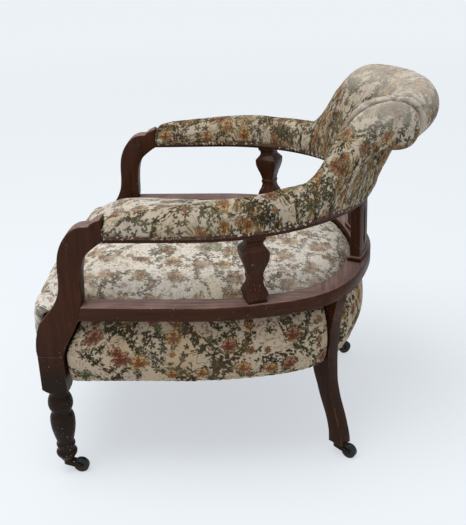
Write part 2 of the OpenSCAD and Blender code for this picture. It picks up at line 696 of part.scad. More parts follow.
// Seat cushion: rings inside the rail, swelling over it, then drawn up to the crown
cushion_low_z = canvas_z + canvas_t + soft_gap;
cushion_off = -rail_w - soft_gap;
corner_in = 14;
side_shares = [0.35, 0.7];
// back is how far this ring lies behind the fullest front
function cushion_outline(back) = concat(
    [for (a = [0:bar_step_a:180]) bow_p(a, cushion_off, rail_full)],
    [for (t = side_shares) [-bow_half_w - cushion_off, -t * side_run]],
    [for (f = front_steps) [f * (bow_half_w + cushion_off),
        -side_run - front_bow(f) + back + (abs(f) == 1 ? corner_in : 0)]],
    [for (t = turned(side_shares)) [bow_half_w + cushion_off, -t * side_run]]);
function at_z(outline, z) = [for (p = outline) [p.x, p.y, z]];
cushion_mid = [0, spring_mid_y];
// Distance behind the fullest front of the three rings of the cushion's side, and their heights
cushion_low_back = 2;
cushion_mid_back = 9;
cushion_rim_back = 21;
cushion_mid_rise = 5;
cushion_rim_in = 10;
cushion_rim_z = rail_top_z - cushion_rim_in;
// The rim drops toward the two front corners
corner_drop = 12;
corner_start_share = 0.7;
function rim_z(p) = cushion_rim_z - corner_drop * pow(p.x / (bow_half_w + cushion_off), 2)
    * ease((-p.y / side_run - corner_start_share) / (1 - corner_start_share));
// Shares of the outline's width and of the crown's rise
crown_shares = [[0.94, 0.16], [0.84, 0.42], [0.66, 0.70], [0.42, 0.92], [0.16, 1.0]];
// The front of the seat rises more steeply than its sides: 0 at the middle, 1 at the front edge
front_power = 1.5;
function to_front(p) = min(1, max(0, -(p.y - cushion_mid.y) / side_run));
function crown_rise(share, p) = mix(share, 1 - pow(1 - share, front_power), to_front(p));
module seat_cushion() {
    rim = cushion_outline(cushion_rim_back);
    fan_skin(turned(concat([at_z(cushion_outline(cushion_low_back), cushion_low_z),
        at_z(cushion_outline(cushion_mid_back), cushion_low_z + cushion_mid_rise),
        [for (p = rim) [p.x, p.y, rim_z(p)]]],
        [for (s = crown_shares) [for (p = rim) let(q = mix(cushion_mid, p, s.x))
            [q.x, q.y, mix(rim_z(p), seat_crown_z, crown_rise(s.y, p))]]])));
}

// Pads: one section that grows from the arm's D shape to the back's scroll.
// off is the scroll's centre outward from the rail's outer face, z its height, r its radius,
// turn goes from 0, an upright D, to 1, the full scroll, and flat squashes the round top
pad_skirt_h = 14;
pad_low_z = arm_top_z - pad_skirt_h;
skirt_out = 2.5;
skirt_in = 9;
arc_steps = 9;
side_steps = 3;
pad_clear = 1;
// Turn of the section's round part at the full scroll: below the level outside, and inside
scroll_out_a = 118;
scroll_in_a = 32;
function pad_section(off, z, r, turn, slot_h, slot_lean, flat = 1) = let(
    a_out = -scroll_out_a * turn, a_in = 180 - scroll_in_a * turn,
    p_out = [off + r * cos(a_out), z + flat * r * sin(a_out)],
    p_in = [off + r * cos(a_in), z + flat * r * sin(a_in)],
    foot_out = [skirt_out, pad_low_z], foot_in = [-arm_rail_w - skirt_in, pad_low_z],
    slot_z = arm_top_z + soft_gap, mid = -arm_rail_w / 2) concat(
    [[pad_clear, pad_low_z]],
    [for (i = [0:side_steps - 1]) mix(foot_out, p_out, i / side_steps)],
    [for (i = [0:arc_steps]) let(q = mix(a_out, a_in, i / arc_steps))
        [off + r * cos(q), z + flat * r * sin(q)]],
    [for (i = [1:side_steps]) mix(p_in, foot_in, i / side_steps)
        - [pad_fullness * sin(180 * i / side_steps), 0]],
    [[-arm_rail_w - pad_clear, pad_low_z], [-arm_rail_w - pad_clear, slot_z],
        [mid - slot_half, slot_z], [mid - slot_half + slot_lean, slot_z + slot_h],
        [mid + slot_half + slot_lean, slot_z + slot_h], [mid + slot_half, slot_z], [pad_clear, slot_z]]);
pad_fullness = 4;
slot_half = 10;

// The back's state at angle a: the section's scroll centre, height, radius, turn and slot
wing_start_a = 43;
wing_end_a = 66;
lean_start_a = 45;
turn_end_a = 72;
arm_pad_in = 23;
arm_pad_off = -arm_pad_in;
slot_share = 0.634;
slot_lean_share = 0.86;
slot_least = 1;
function wing_top(a) = mix(arm_pad_rear_z, crest_z, ease((a - wing_start_a) / (wing_end_a - wing_start_a)));
lean_power = 1.3;
function wing_lean(a) = mix(arm_pad_off, scroll_lean,
    pow(max(0, sin(90 * (a - lean_start_a) / (90 - lean_start_a))), lean_power));
function wing_r(a) = mix(arm_pad_r, scroll_r, ease((a - lean_start_a) / (turn_end_a - lean_start_a)));
function wing_turn(a) = ease((a - wing_start_a) / (turn_end_a - wing_start_a));
function wing_slot(a) = max(slot_least, slot_share * (wing_top(a) - arm_top_z - 2 * arm_pad_r));
function wing_slot_lean(a) = slot_lean_share * (wing_lean(a) - arm_pad_off) * wing_slot(a)
    / (wing_top(a) - arm_top_z);
function half_a(a) = a > 90 ? 180 - a : a;
function back_section(a) = let(h = half_a(a)) pad_section(wing_lean(h), wing_top(h) - wing_r(h), wing_r(h),
    wing_turn(h), wing_slot(h), wing_slot_lean(h));

pad_joint_a = 42;
pad_gap_a = 0.08;
back_step_a = 4;
module back_pad() {
    skin(turned([for (a = [pad_joint_a:back_step_a:180 - pad_joint_a]) ring_at_a(back_section(a), a)]));
}

// Arm pads: the straight part, rounded off at the front, then the curve to the back
arm_front_y = post_back_y + soft_gap;
// Rounded front end: shares of the pad's radius for the distance from the end and the width,
// and the share by which the round top is flattened there
arm_end_shares = [[0, 0.93, 0.30], [0.12, 0.97, 0.60], [0.4, 1.0, 0.86], [1.0, 1.0, 1.0]];
arm_straight_share = 0.4;
arm_ring_shares = [0.45, 0.75, 1];
arm_step_a = 7;
arm_rise_shares = [0, 1.25];
function arm_top(t) = mix(arm_pad_front_z, arm_pad_rear_z, ease(arm_rise_shares.x + arm_rise_shares.y * t));
function arm_section(t, wide = 1, flat = 1) = pad_section(arm_pad_off, arm_top(t) - arm_pad_r,
    arm_pad_r * wide, 0, slot_least, 0, flat);
module arm_pad() {
    skin(turned(concat(
        [for (s = arm_end_shares) ring_at_y(arm_section(0, s.y, s.z), arm_front_y + s.x * arm_pad_r)],
        [for (t = arm_ring_shares) ring_at_y(arm_section(t * arm_straight_share), mix(arm_front_y, 0, t))],
        [for (a = [arm_step_a:arm_step_a:pad_joint_a - arm_step_a])
            ring_at_a(arm_section(mix(arm_straight_share, 1, a / pad_joint_a)), a)],
        [ring_at_a(back_section(pad_joint_a), pad_joint_a - pad_gap_a)])));
}

// Inside the back: staves on the arm rail, and a hoop across their tops
stave_t = 14;
stave_w = 36;
hoop_h = 22;
stave_angles = [62, 76, 90, 104, 118];
stave_edge_a = 4;
hoop_gap = 1;
function hoop_rise(a) = wing_slot(half_a(a)) - hoop_h - hoop_gap;
// A stave reaches the hoop at the edge where the hoop is lower
function stave_rise(a) = min(hoop_rise(a - stave_edge_a), hoop_rise(a), hoop_rise(a + stave_edge_a));
module back_stave(a) {
    p = bow_p(a, -arm_rail_w / 2);
    n = bow_n(a);
    rise = stave_rise(a);
    lean = wing_slot_lean(half_a(a)) * rise / wing_slot(half_a(a));
    translate([p.x, p.y, arm_top_z]) rotate([0, 0, atan2(n.y, n.x)]) rotate([90, 0, 0])
        linear_extrude(stave_w, center = true)
            polygon([[-stave_t / 2, 0], [stave_t / 2, 0], [stave_t / 2 + lean, rise],
                [-stave_t / 2 + lean, rise]]);
}
module back_staves() for (a = stave_angles) back_stave(a);
function hoop_section(a) = let(h = half_a(a), rise = hoop_rise(a), full = wing_slot(h),
    lean0 = wing_slot_lean(h) * rise / full, lean1 = wing_slot_lean(h) * (rise + hoop_h) / full,
    mid = -arm_rail_w / 2, z0 = arm_top_z + rise + fit_gap)
    [[mid - stave_t / 2 + lean0, z0], [mid + stave_t / 2 + lean0, z0],
        [mid + stave_t / 2 + lean1, z0 + hoop_h], [mid - stave_t / 2 + lean1, z0 + hoop_h]];
hoop_start_a = 58;
hoop_step_a = 4;
module crest_hoop() {
    skin(turned([for (a = [hoop_start_a:hoop_step_a:180 - hoop_start_a]) ring_at_a(hoop_section(a), a)]));
}

// Castors. Each is drawn at its swivel axis, with the wheel trailing toward +Y.
// Those at the rear have swung outward by an angle
rear_castor_a = 30;
plate_r = 11;
plate_t = 2.5;
plate_gap = 0.3;
plate_z = leg_low_z - plate_t;
hub_r = 8;
hub_top_z = plate_z - plate_gap;
hub_low_z = 18;
cheek_t = 2;
cheek_gap = 0.5;
cheek_r = 4.5;
cheek_a = 60;
axle_fit = 0.01;
axle_head_r = 2.8;
axle_head_t = 1.2;
tread_bevel = 1.5;

module castor_plate() {
    translate([0, 0, plate_z]) difference() {
        cylinder(r = plate_r, h = plate_t, $fn = 48);
        translate([0, 0, -overrun]) cylinder(r = stem_r + fit_gap, h = plate_t + 2 * overrun, $fn = 48);
    }
}
module castor_horn() {
    x_in = wheel_w / 2 + cheek_gap;
    difference() {
        union() {
            translate([0, 0, hub_low_z]) cylinder(r = hub_r, h = hub_top_z - hub_low_z, $fn = 48);
            translate([0, 0, hub_top_z - overrun])
                cylinder(r = stem_r, h = leg_low_z - hub_top_z + stem_len + overrun, $fn = 48);
            for (s = [-1, 1]) translate([s * (x_in + cheek_t / 2), 0, 0]) {
                translate([0, castor_trail, wheel_r]) rotate([0, 90, 0])
                    cylinder(r = cheek_r, h = cheek_t, center = true, $fn = 32);
                rotate([90, 0, 90]) linear_extrude(cheek_t, center = true)
                    polygon([[0, hub_low_z], [0, hub_top_z], [hub_r / 2, hub_top_z],
                        [castor_trail + cheek_r * cos(cheek_a), wheel_r + cheek_r * sin(cheek_a)],
                        [castor_trail - cheek_r * cos(cheek_a), wheel_r - cheek_r * sin(cheek_a)]]);
            }
        }
        translate([0, castor_trail, wheel_r]) rotate([0, 90, 0])
            cylinder(r = axle_r + axle_fit, h = 4 * wheel_w, center = true, $fn = 32);
    }
}
module castor_axle() {
    half = wheel_w / 2 + cheek_gap + cheek_t;
    translate([0, castor_trail, wheel_r]) rotate([0, 90, 0]) {
        cylinder(r = axle_r, h = 2 * half, center = true, $fn = 32);
        for (s = [-1, 1]) translate([0, 0, s * (half + axle_head_t / 2)])
            cylinder(r = axle_head_r, h = axle_head_t, center = true, $fn = 32);
    }
}
module castor_wheel() {
    half = wheel_w / 2;
    translate([0, castor_trail, wheel_r]) rotate([0, 90, 0]) rotate_extrude($fn = 64)
        polygon([[axle_r + fit_gap, -half], [wheel_r - tread_bevel, -half], [wheel_r, -half + tread_bevel],
            [wheel_r, half - tread_bevel], [wheel_r - tread_bevel, half], [axle_r + fit_gap, half]]);
}
module at_front_leg() translate([leg_x, leg_y, 0]) children();
module at_rear_leg() {
    p = rear_p + castor_rear_share * rear_leg_d * rear_n;
    translate([p.x, p.y, 0]) rotate([0, 0, -rear_castor_a]) children();
}

color(wood_dark) left() front_leg();  // front_leg_left
color(wood_dark) right() front_leg();  // front_leg_right
color(wood_red) left() rear_leg();  // rear_leg_left
color(wood_red) right() rear_leg();  // rear_leg_right
color(wood_dark) left() arm_post();  // arm_post_left
color(wood_dark) right() arm_post();  // arm_post_right
color(wood_red) left() seat_bow_side();  // seat_bow_left
color(wood_red) right() seat_bow_side();  // seat_bow_right
color(wood_red) placed() seat_bow_back();
color(wood_dark) left() arm_rail_side();  // arm_rail_left
color(wood_dark) right() arm_rail_side();  // arm_rail_right
color(wood_dark) placed() arm_rail_back();
color(wood_dark) left() baluster();  // baluster_left
color(wood_dark) right() baluster();  // baluster_right
color(wood_dark) placed() back_splat();
color(wood_plain) placed() back_staves();
color(wood_plain) placed() crest_hoop();
color(wood_plain) placed() frame_rail_front();
color(wood_plain) left() frame_rail_side();  // frame_rail_left
color(wood_plain) right() frame_rail_side();  // frame_rail_right
color(wood_plain) placed() frame_rail_back();
color(wood_plain) placed() corner_blocks();
color(jute) placed() seat_webbing();
color(steel) placed() seat_springs();
color(jute) placed() spring_canvas();
color(black_cloth) placed() dust_cover();
color(fabric) placed() seat_cushion();
color(fabric) placed() seat_border_front();
color(fabric) left() seat_border_side();  // seat_border_left
color(fabric) right() seat_border_side();  // seat_border_right
color(fabric) placed() seat_border_back();
color(fabric) left() arm_pad();  // arm_pad_left
color(fabric) right() arm_pad();  // arm_pad_right
color(fabric) placed() back_pad();
color(wood_plain) placed() dowels();
color(steel) placed() leg_screws();
color(brass_dark) left() at_front_leg() castor_plate();  // castor_plate_front_left
color(brass_dark) right() at_front_leg() castor_plate();  // castor_plate_front_right
color(brass_dark) left() at_rear_leg() castor_plate();  // castor_plate_rear_left
color(brass_dark) right() at_rear_leg() castor_plate();  // castor_plate_rear_right
color(brass_dark) left() at_front_leg() castor_horn();  // castor_horn_front_left
color(brass_dark) right() at_front_leg() castor_horn();  // castor_horn_front_right
color(brass_dark) left() at_rear_leg() castor_horn();  // castor_horn_rear_left
color(brass_dark) right() at_rear_leg() castor_horn();  // castor_horn_rear_right
color(steel) left() at_front_leg() castor_axle();  // castor_axle_front_left
color(steel) right() at_front_leg() castor_axle();  // castor_axle_front_right
color(steel) left() at_rear_leg() castor_axle();  // castor_axle_rear_left
color(steel) right() at_rear_leg() castor_axle();  // castor_axle_rear_right
color(wood_dark) left() at_front_leg() castor_wheel();  // castor_wheel_front_left
color(wood_dark) right() at_front_leg() castor_wheel();  // castor_wheel_front_right
color(wood_dark) left() at_rear_leg() castor_wheel();  // castor_wheel_rear_left
color(wood_dark) right() at_rear_leg() castor_wheel();  // castor_wheel_rear_right
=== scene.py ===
# %% [markdown]
# # A low armchair with a round back
#
# The real chair is a late nineteenth century sitting room chair: a horseshoe of dark wood on
# turned front legs and sabre rear legs, with sprung and stuffed upholstery in floral tapestry.
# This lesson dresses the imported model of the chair. First the model is loaded as a fixed frame,
# because every piece below takes its place from it, in metres, and nothing has to be fitted by eye.

# %% Load the frame
from contextlib import contextmanager
import math

import bmesh
import bpy
import numpy as np
from mathutils import Matrix, Vector


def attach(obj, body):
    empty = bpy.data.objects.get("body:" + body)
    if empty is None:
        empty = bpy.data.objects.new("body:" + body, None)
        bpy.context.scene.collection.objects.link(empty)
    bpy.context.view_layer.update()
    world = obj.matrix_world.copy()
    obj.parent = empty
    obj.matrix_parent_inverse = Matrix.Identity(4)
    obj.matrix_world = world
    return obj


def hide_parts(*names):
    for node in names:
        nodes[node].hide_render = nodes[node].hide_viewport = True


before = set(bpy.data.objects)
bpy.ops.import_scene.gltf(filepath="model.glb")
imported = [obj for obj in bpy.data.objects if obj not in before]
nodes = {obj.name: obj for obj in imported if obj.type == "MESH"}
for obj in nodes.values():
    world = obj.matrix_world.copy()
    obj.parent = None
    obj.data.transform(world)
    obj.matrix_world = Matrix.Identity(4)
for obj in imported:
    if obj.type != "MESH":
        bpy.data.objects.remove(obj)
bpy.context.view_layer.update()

MM = 0.001

# %% [markdown]
# ## A short way to write finishes
#
# Each finish is a small tree of shader nodes. Written out in full, every node takes several lines,
# so this helper adds a node, feeds its inputs and hands back its output in one call.

# %% Finish helper
class Finish:
    """One tree of shader nodes: each call adds a node to it and gives that node's output."""

    def __init__(self, name, owner=None):
        self.material = owner or bpy.data.materials.new(name)
        self.material.use_nodes = True
        self.tree = self.material.node_tree
        self.shader = self.tree.nodes.get("Principled BSDF")

    def add(self, kind, output=0, feeds=(), **settings):
        node = self.tree.nodes.new("ShaderNode" + kind)
        for key, value in settings.items():
            setattr(node, key, value)
        for socket, value in feeds:
            self.feed(node.inputs[socket], value)
        return node.outputs[output]

    def feed(self, socket, value):
        if isinstance(value, bpy.types.NodeSocket):
            self.tree.links.new(value, socket)
        else:
            socket.default_value = (*value, 1) if socket.type == "RGBA" and len(value) == 3 else value

    def math(self, operation, a, b=0.0, c=0.0):
        return self.add("Math", operation=operation, feeds=((0, a), (1, b), (2, c)))

    def times(self, a, b):
        return self.math("MULTIPLY", a, b)

    def fused(self, a, b, c):
        """a times b, plus c."""
        return self.math("MULTIPLY_ADD", a, b, c)

    def vector(self, operation, a, b=(0, 0, 0), output=0):
        return self.add("VectorMath", output, ((0, a), (1, b)), operation=operation)

    def scaled(self, vector, factors):
        return self.vector("MULTIPLY", vector, factors)

    def span(self, value, low, high, to=(0.0, 1.0), kind="LINEAR"):
        """Runs from to's first value at low to its second at high."""
        return self.add("MapRange", feeds=((0, value), (1, low), (2, high), (3, to[0]), (4, to[1])),
                        interpolation_type=kind)

    def soft(self, value, low, high, to=(0.0, 1.0)):
        return self.span(value, low, high, to, "SMOOTHSTEP")

    def noise(self, vector, scale, detail=2.0, output=0):
        return self.add("TexNoise", output, (("Vector", vector), ("Scale", scale), ("Detail", detail)))

    def mix(self, factor, a, b, blend="MIX"):
        return self.add("Mix", 2, ((0, factor), (6, a), (7, b)), data_type="RGBA", blend_type=blend)

    def over(self, share, colour, new, strength):
        """New laid over the colour where share is 1, at that strength."""
        return self.mix(self.times(share, strength), colour, new)

    def ramp(self, value, stops, constant=False):
        node = self.add("ValToRGB", feeds=((0, value),)).node
        node.color_ramp.interpolation = "CONSTANT" if constant else "LINEAR"
        marks = node.color_ramp.elements
        while len(marks) < len(stops):
            marks.new(1.0)
        for mark, (place, colour) in zip(marks, stops):
            mark.position, mark.color = place, (*colour, 1)
        return node.outputs[0]

    def parts(self, vector):
        return self.add("SeparateXYZ", feeds=((0, vector),)).node.outputs

    def edges(self, radius):
        """The normal rounded off over radius, the true one, and how far they differ: most beside an edge."""
        rounded = self.add("Bevel", feeds=(("Radius", radius),), samples=6)
        true = self.add("NewGeometry", "True Normal")
        return rounded, true, self.math("SUBTRACT", 1.0, self.vector("DOT_PRODUCT", rounded, true, 1))

    def surface(self, colour, rough, height=None, depth=0.0005, strength=1.0, normal=None, **constants):
        constants.update(Base_Color=colour, Roughness=rough)
        if height is not None:
            feeds = (("Strength", strength), ("Distance", depth), ("Height", height))
            normal = self.add("Bump", feeds=feeds + ((("Normal", normal),) if normal is not None else ()))
        if normal is not None:
            constants["Normal"] = normal
        for key, value in constants.items():
            self.feed(self.shader.inputs[key.replace("_", " ")], value)
        return self.material


def linked(name, data):
    item = bpy.data.objects.new(name, data)
    bpy.context.scene.collection.objects.link(item)
    return item


@contextmanager
def edited(mesh):
    work = bmesh.new()
    work.from_mesh(mesh)
    yield work
    work.to_mesh(mesh)
    work.free()


print("finish helper ready")

# %% [markdown]
# ## The floor
#
# The chair stands on a pale floor that runs far past the view. The floor glows a little toward
# the camera only, which thins the shadow to the pale grey of a light studio and adds no light to
# the chair. It glows more farther off, where the lamp no longer reaches, so floor and backdrop
# meet in one tone.

# %% Floor
FLOOR_HALF = 30
FLOOR_COLOUR, BACKGROUND = (0.80, 0.84, 0.88), (0.862, 0.900, 0.940)
GLOW_NEAR, GLOW_FAR, GLOW_RUN = 0.60, 0.94, (1.2, 4.5)

f = Finish("pale_floor")
f.surface(FLOOR_COLOUR, 0.9, Specular_IOR_Level=0.0)
out = f.vector("LENGTH", f.add("NewGeometry", "Position"), output=1)
seen = f.math("MAXIMUM", f.add("LightPath", "Is Camera Ray"), f.add("LightPath", "Is Glossy Ray"))
glow = f.times(seen, f.span(out, *GLOW_RUN, (GLOW_NEAR, GLOW_FAR)))
lit = f.add("MixShader", feeds=((0, glow), (1, f.shader.outputs[0]),
                                (2, f.add("Emission", feeds=(("Color", BACKGROUND),)))))
f.feed(f.tree.nodes["Material Output"].inputs["Surface"], lit)

floor_mesh = bpy.data.meshes.new("studio_floor")
corners = [(x * FLOOR_HALF, y * FLOOR_HALF, 0) for x, y in ((-1, -1), (1, -1), (1, 1), (-1, 1))]
floor_mesh.from_pydata(corners, [], [(0, 1, 2, 3)])
floor_mesh.materials.append(f.material)
floor = linked("studio_floor", floor_mesh)
print("floor:", 2 * FLOOR_HALF, "m each way")

# %% [markdown]
# ## The light
#
# The light is soft and comes from all sides. Such light alone would leave the shapes flat, so a
# wide lamp overhead adds a gentle top light and draws the soft shadow under the seat.

# %% Light
SKY, SKY_STRENGTH = (0.97, 0.985, 1.0), 0.66
LAMP_PLACE, LAMP_TARGET, LAMP_SIZE, LAMP_POWER = (0.9, -0.9, 4.2), (0, 0, 0.3), 3.0, 120

world = bpy.data.worlds.new("soft_daylight")
f = Finish("soft_daylight", world)
sky = f.tree.nodes["Background"]
f.feed(sky.inputs["Color"], SKY)
f.feed(sky.inputs["Strength"], SKY_STRENGTH)
backdrop = f.add("Background", feeds=(("Color", BACKGROUND),))
to_camera = f.add("LightPath", "Is Camera Ray")
both = f.add("MixShader", feeds=((0, to_camera), (1, sky.outputs[0]), (2, backdrop)))
f.feed(f.tree.nodes["World Output"].inputs["Surface"], both)
bpy.context.scene.world = world

disk = bpy.data.lights.new("lamp_overhead", "AREA")
disk.shape, disk.size, disk.energy = "DISK", LAMP_SIZE, LAMP_POWER
lamp = linked("lamp_overhead", disk)
lamp.location = LAMP_PLACE
lamp.rotation_euler = (Vector(LAMP_TARGET) - Vector(LAMP_PLACE)).to_track_quat("-Z", "Y").to_euler()
bpy.context.scene.view_settings.view_transform = "Standard"
print("lamp:", lamp.name, "at", LAMP_PLACE)

# %% [markdown]
# ## The camera
#
# The photograph was taken from the sitter's left, a little above seat height, by a hand-held
# camera that leaned slightly. The place and the angles below came from matching paired left and
# right points of the chair, so that the render lines up with the photograph.

# %% Camera
CAMERA_PLACE = (1.7253, 0.1666, 1.0987)
CAMERA_TURN, CAMERA_DIP, CAMERA_LEAN, CAMERA_LENS = 0.105, 0.417, -0.042, 62.4
ahead = Vector((math.cos(CAMERA_TURN), math.sin(CAMERA_TURN), 0))
forward = -math.cos(CAMERA_DIP) * ahead - Vector((0, 0, math.sin(CAMERA_DIP)))
level = Vector((-ahead.y, ahead.x, 0))
upright = level.cross(forward)
to_right = math.cos(CAMERA_LEAN) * level + math.sin(CAMERA_LEAN) * upright
to_top = -math.sin(CAMERA_LEAN) * level + math.cos(CAMERA_LEAN) * upright
camera = linked("camera", bpy.data.cameras.new("camera"))
camera.data.lens, camera.data.sensor_width = CAMERA_LENS, 36
camera.matrix_world = Matrix((to_right, to_top, -forward)).transposed().to_4x4()
camera.matrix_world.translation = CAMERA_PLACE
bpy.context.scene.camera = camera
print("camera at", CAMERA_PLACE)

# %% [markdown]
# ## Dark polished wood
#
# The show wood is beech or mahogany under a dark red-brown polish that has rubbed thin on the
# edges and gathered dirt in the hollows. The grain is a noise stretched along the length of each
# piece. The rubbed edges come from comparing the true surface direction with one that is rounded
# off over a few millimetres: they differ only beside an edge. Faces that look up get a painted
# sheen, a pale grey mixed into their colour where the polish would catch the sky, and the turned
# legs are nearly black.

# %% Wood finish
WOOD_DEEP, WOOD_RED, WOOD_RUBBED = (0.020, 0.0068, 0.0028), (0.062, 0.0190, 0.0072), (0.17, 0.080, 0.045)
WOOD_TOP_SHEEN, WOOD_BLACKENED, PAINT_SPECK = (0.285, 0.180, 0.155), (0.013, 0.0080, 0.0050), (0.62, 0.57, 0.53)
GRAIN_ALONG, GRAIN_ACROSS, EDGE_ROUNDING = 9.0, 150.0, 0.0032
LOWER_DARKENING_RUN, BLACKENED_BELOW = (0.22, 0.34), 0.243


def show_wood(name, run, blackened_below=0.0):
    """run is the axis, 0 to 2, that the grain follows; the polish is nearly black below that height."""
    f = Finish(name)
    place = f.add("TexCoord", "Object")
    stretch = [GRAIN_ACROSS] * 3
    stretch[run] = GRAIN_ALONG
    wander = f.vector("MULTIPLY_ADD", f.noise(place, 7.0, 2.0, 1), (0.012, 0.012, 0.012))
    drift = f.vector("ADD", place, wander)
    grain, figure, pores = [f.noise(f.scaled(drift, [s * finer for s in stretch]), 1.0, detail)
                            for finer, detail in ((1.0, 4.0), (0.22, 3.0), (4.0, 2.0))]
    body = f.ramp(f.fused(grain, 0.5, f.times(figure, 0.5)), [(0.30, WOOD_DEEP), (0.70, WOOD_RED)])
    worn = f.noise(place, 38.0, 5.0)
    rounded, true, at_edge = f.edges(EDGE_ROUNDING)
    height = f.parts(place)[2]
    # Darker toward the bottom: the wood is mixed toward its deepest tone, most at the run's lower height and
    # not at all above its upper one.
    body = f.mix(f.soft(height, *LOWER_DARKENING_RUN, (0.65, 0.0)), body, WOOD_DEEP)
    if blackened_below:
        low, high = blackened_below - 0.01, blackened_below + 0.03
        body = f.mix(f.soft(f.fused(worn, 0.03, height), low, high, (0.8, 0.0)), body, WOOD_BLACKENED)
    patchy = f.soft(f.noise(place, 21.0, 4.0), 0.2, 0.7, (0.55, 1.0))
    # Painted sheen: faces that look up are mixed toward a patchy pale grey, a painted reflection of the sky
    # on the polish.
    top_sheen = f.mix(f.soft(grain, 0.35, 0.65), tuple(0.60 * c for c in WOOD_TOP_SHEEN), WOOD_TOP_SHEEN)
    colour = f.over(f.soft(f.parts(true)[2], 0.55, 0.95), body, top_sheen, patchy)
    rub = f.times(f.soft(at_edge, 0.012, 0.12), f.soft(worn, 0.42, 0.66))
    colour = f.over(rub, colour, WOOD_RUBBED, 0.62)
    scuff = f.times(f.soft(f.noise(place, 90.0, 4.0), 0.66, 0.75), f.soft(f.noise(place, 11.0), 0.45, 0.65))
    colour = f.over(scuff, colour, WOOD_RUBBED, 0.30)
    speck = f.times(f.soft(f.noise(place, 330.0, 1.0), 0.745, 0.765), f.soft(f.noise(place, 9.0), 0.42, 0.55))
    colour = f.over(speck, colour, PAINT_SPECK, 0.8)
    dull = f.soft(f.noise(place, 16.0, 3.0), 0.3, 0.7, (0.38, 0.56))
    return f.surface(colour, dull, f.fused(pores, 0.45, f.times(worn, 0.55)), 0.0006, 0.35, rounded,
                     Coat_Weight=0.14, Coat_Roughness=0.20, Specular_IOR_Level=0.04)


wood_upright = show_wood("dark_wood_upright", 2)
wood_fore_aft = show_wood("dark_wood_fore_and_aft", 1)
wood_across = show_wood("dark_wood_across", 0)
wood_turned = show_wood("dark_wood_turned", 2, BLACKENED_BELOW)
print("wood finishes:", wood_upright.name, wood_fore_aft.name, wood_across.name, wood_turned.name)

# %% [markdown]
# ## Hidden wood, jute, metal and black cloth
#
# The frame inside the seat is bare beech, the webbing and canvas are jute, and the castors are
# brass gone nearly black with worn dark wheels. Each has its own grain, weave or tarnish, because
# someone who turns the chair over looks at them from close by.

# %% Plain finishes
BEECH_PALE, BEECH_DEEP, BEECH_FLECK = (0.52, 0.37, 0.23), (0.40, 0.26, 0.15), (0.30, 0.18, 0.10)


def bare_beech():
    f = Finish("bare_beech")
    place = f.add("TexCoord", "Object")
    fleck = f.noise(f.scaled(place, (60, 60, 320)), 1.0, 3.0)
    tone = f.noise(f.scaled(place, (30, 30, 4)), 1.0, 3.0)
    body = f.ramp(tone, [(0.3, BEECH_DEEP), (0.7, BEECH_PALE)])
    colour = f.mix(f.soft(fleck, 0.45, 0.7), body, BEECH_FLECK)
    return f.surface(colour, 0.75, fleck, 0.0004, 0.4)


def coarse_weave(name, dark, light, pitch):
    """Over and under threads, from two sets of ribs at right angles."""
    f = Finish(name)
    place = f.add("TexCoord", "Object")
    ribs = f.parts(f.scaled(place, [math.tau / pitch] * 3))
    over = f.times(f.math("SINE", ribs[0]), f.math("SINE", ribs[1]))
    tone = f.fused(over, 0.25, f.noise(place, 240.0, 2.0))
    return f.surface(f.ramp(tone, [(0.3, dark), (0.75, light)]), 0.95, over, pitch * 0.25, 0.6)


def tarnished(name, deep, bright, rough, metal=1.0):
    f = Finish(name)
    patch = f.noise(f.add("TexCoord", "Object"), 210.0, 5.0)
    rounded, _, at_edge = f.edges(0.0012)
    shine = f.times(f.soft(at_edge, 0.01, 0.15), f.soft(patch, 0.4, 0.6))
    colour = f.mix(f.math("MAXIMUM", f.times(f.soft(patch, 0.55, 0.75), 0.5), shine), deep, bright)
    return f.surface(colour, f.soft(patch, 0.3, 0.7, (rough - 0.12, rough + 0.12)), patch, 0.0003, 0.4,
                     rounded, Metallic=metal)


beech = bare_beech()
jute = coarse_weave("jute_weave", (0.22, 0.15, 0.08), (0.46, 0.35, 0.21), 0.0032)
black_cotton = coarse_weave("black_cotton", (0.006, 0.006, 0.006), (0.022, 0.021, 0.020), 0.0011)
dark_brass = tarnished("tarnished_brass", (0.028, 0.019, 0.012), (0.15, 0.105, 0.06), 0.50)
bright_steel = tarnished("drawn_steel", (0.30, 0.30, 0.31), (0.55, 0.55, 0.56), 0.34)
dark_iron = tarnished("dark_iron", (0.030, 0.024, 0.019), (0.11, 0.085, 0.06), 0.5)
wheel_black = tarnished("worn_black_wheel", (0.008, 0.008, 0.008), (0.07, 0.06, 0.05), 0.5, 0.3)
print("plain finishes ready")

# %% [markdown]
# ## Floral tapestry: the drawing
#
# The cover is a machine-woven tapestry, a traditional scatter of roses, small flowers and leaf
# sprays on a cream ground. It is drawn with cells: a cell pattern scatters middles over the cloth,
# and each middle carries one shape, a circle whose edge a wave cuts into lobes. Small two- and
# three-lobed shapes crowd together as leaf sprays, large many-lobed ones are flowers.

# %% Shapes in cells
LEAF_DARK, LEAF_LINE = (0.014, 0.012, 0.007), (0.16, 0.13, 0.065)


def cells(f, place, pitch, shift, spread=0.9, feature="F1"):
    """Scatters middles a pitch apart: gives the way from the nearest, in metres, and three random numbers."""
    cell = f.vector("ADD", f.scaled(place, [1 / pitch] * 3), (shift, shift * 1.7, 0))
    feeds = (("Vector", cell), ("Scale", 1.0), ("Randomness", spread))
    grid = f.add("TexVoronoi", voronoi_dimensions="2D", feature=feature, feeds=feeds).node
    if feature != "F1":
        return grid.outputs["Distance"]
    away = f.scaled(f.vector("SUBTRACT", cell, grid.outputs["Position"]), [pitch] * 3)
    return away, f.parts(grid.outputs["Color"])


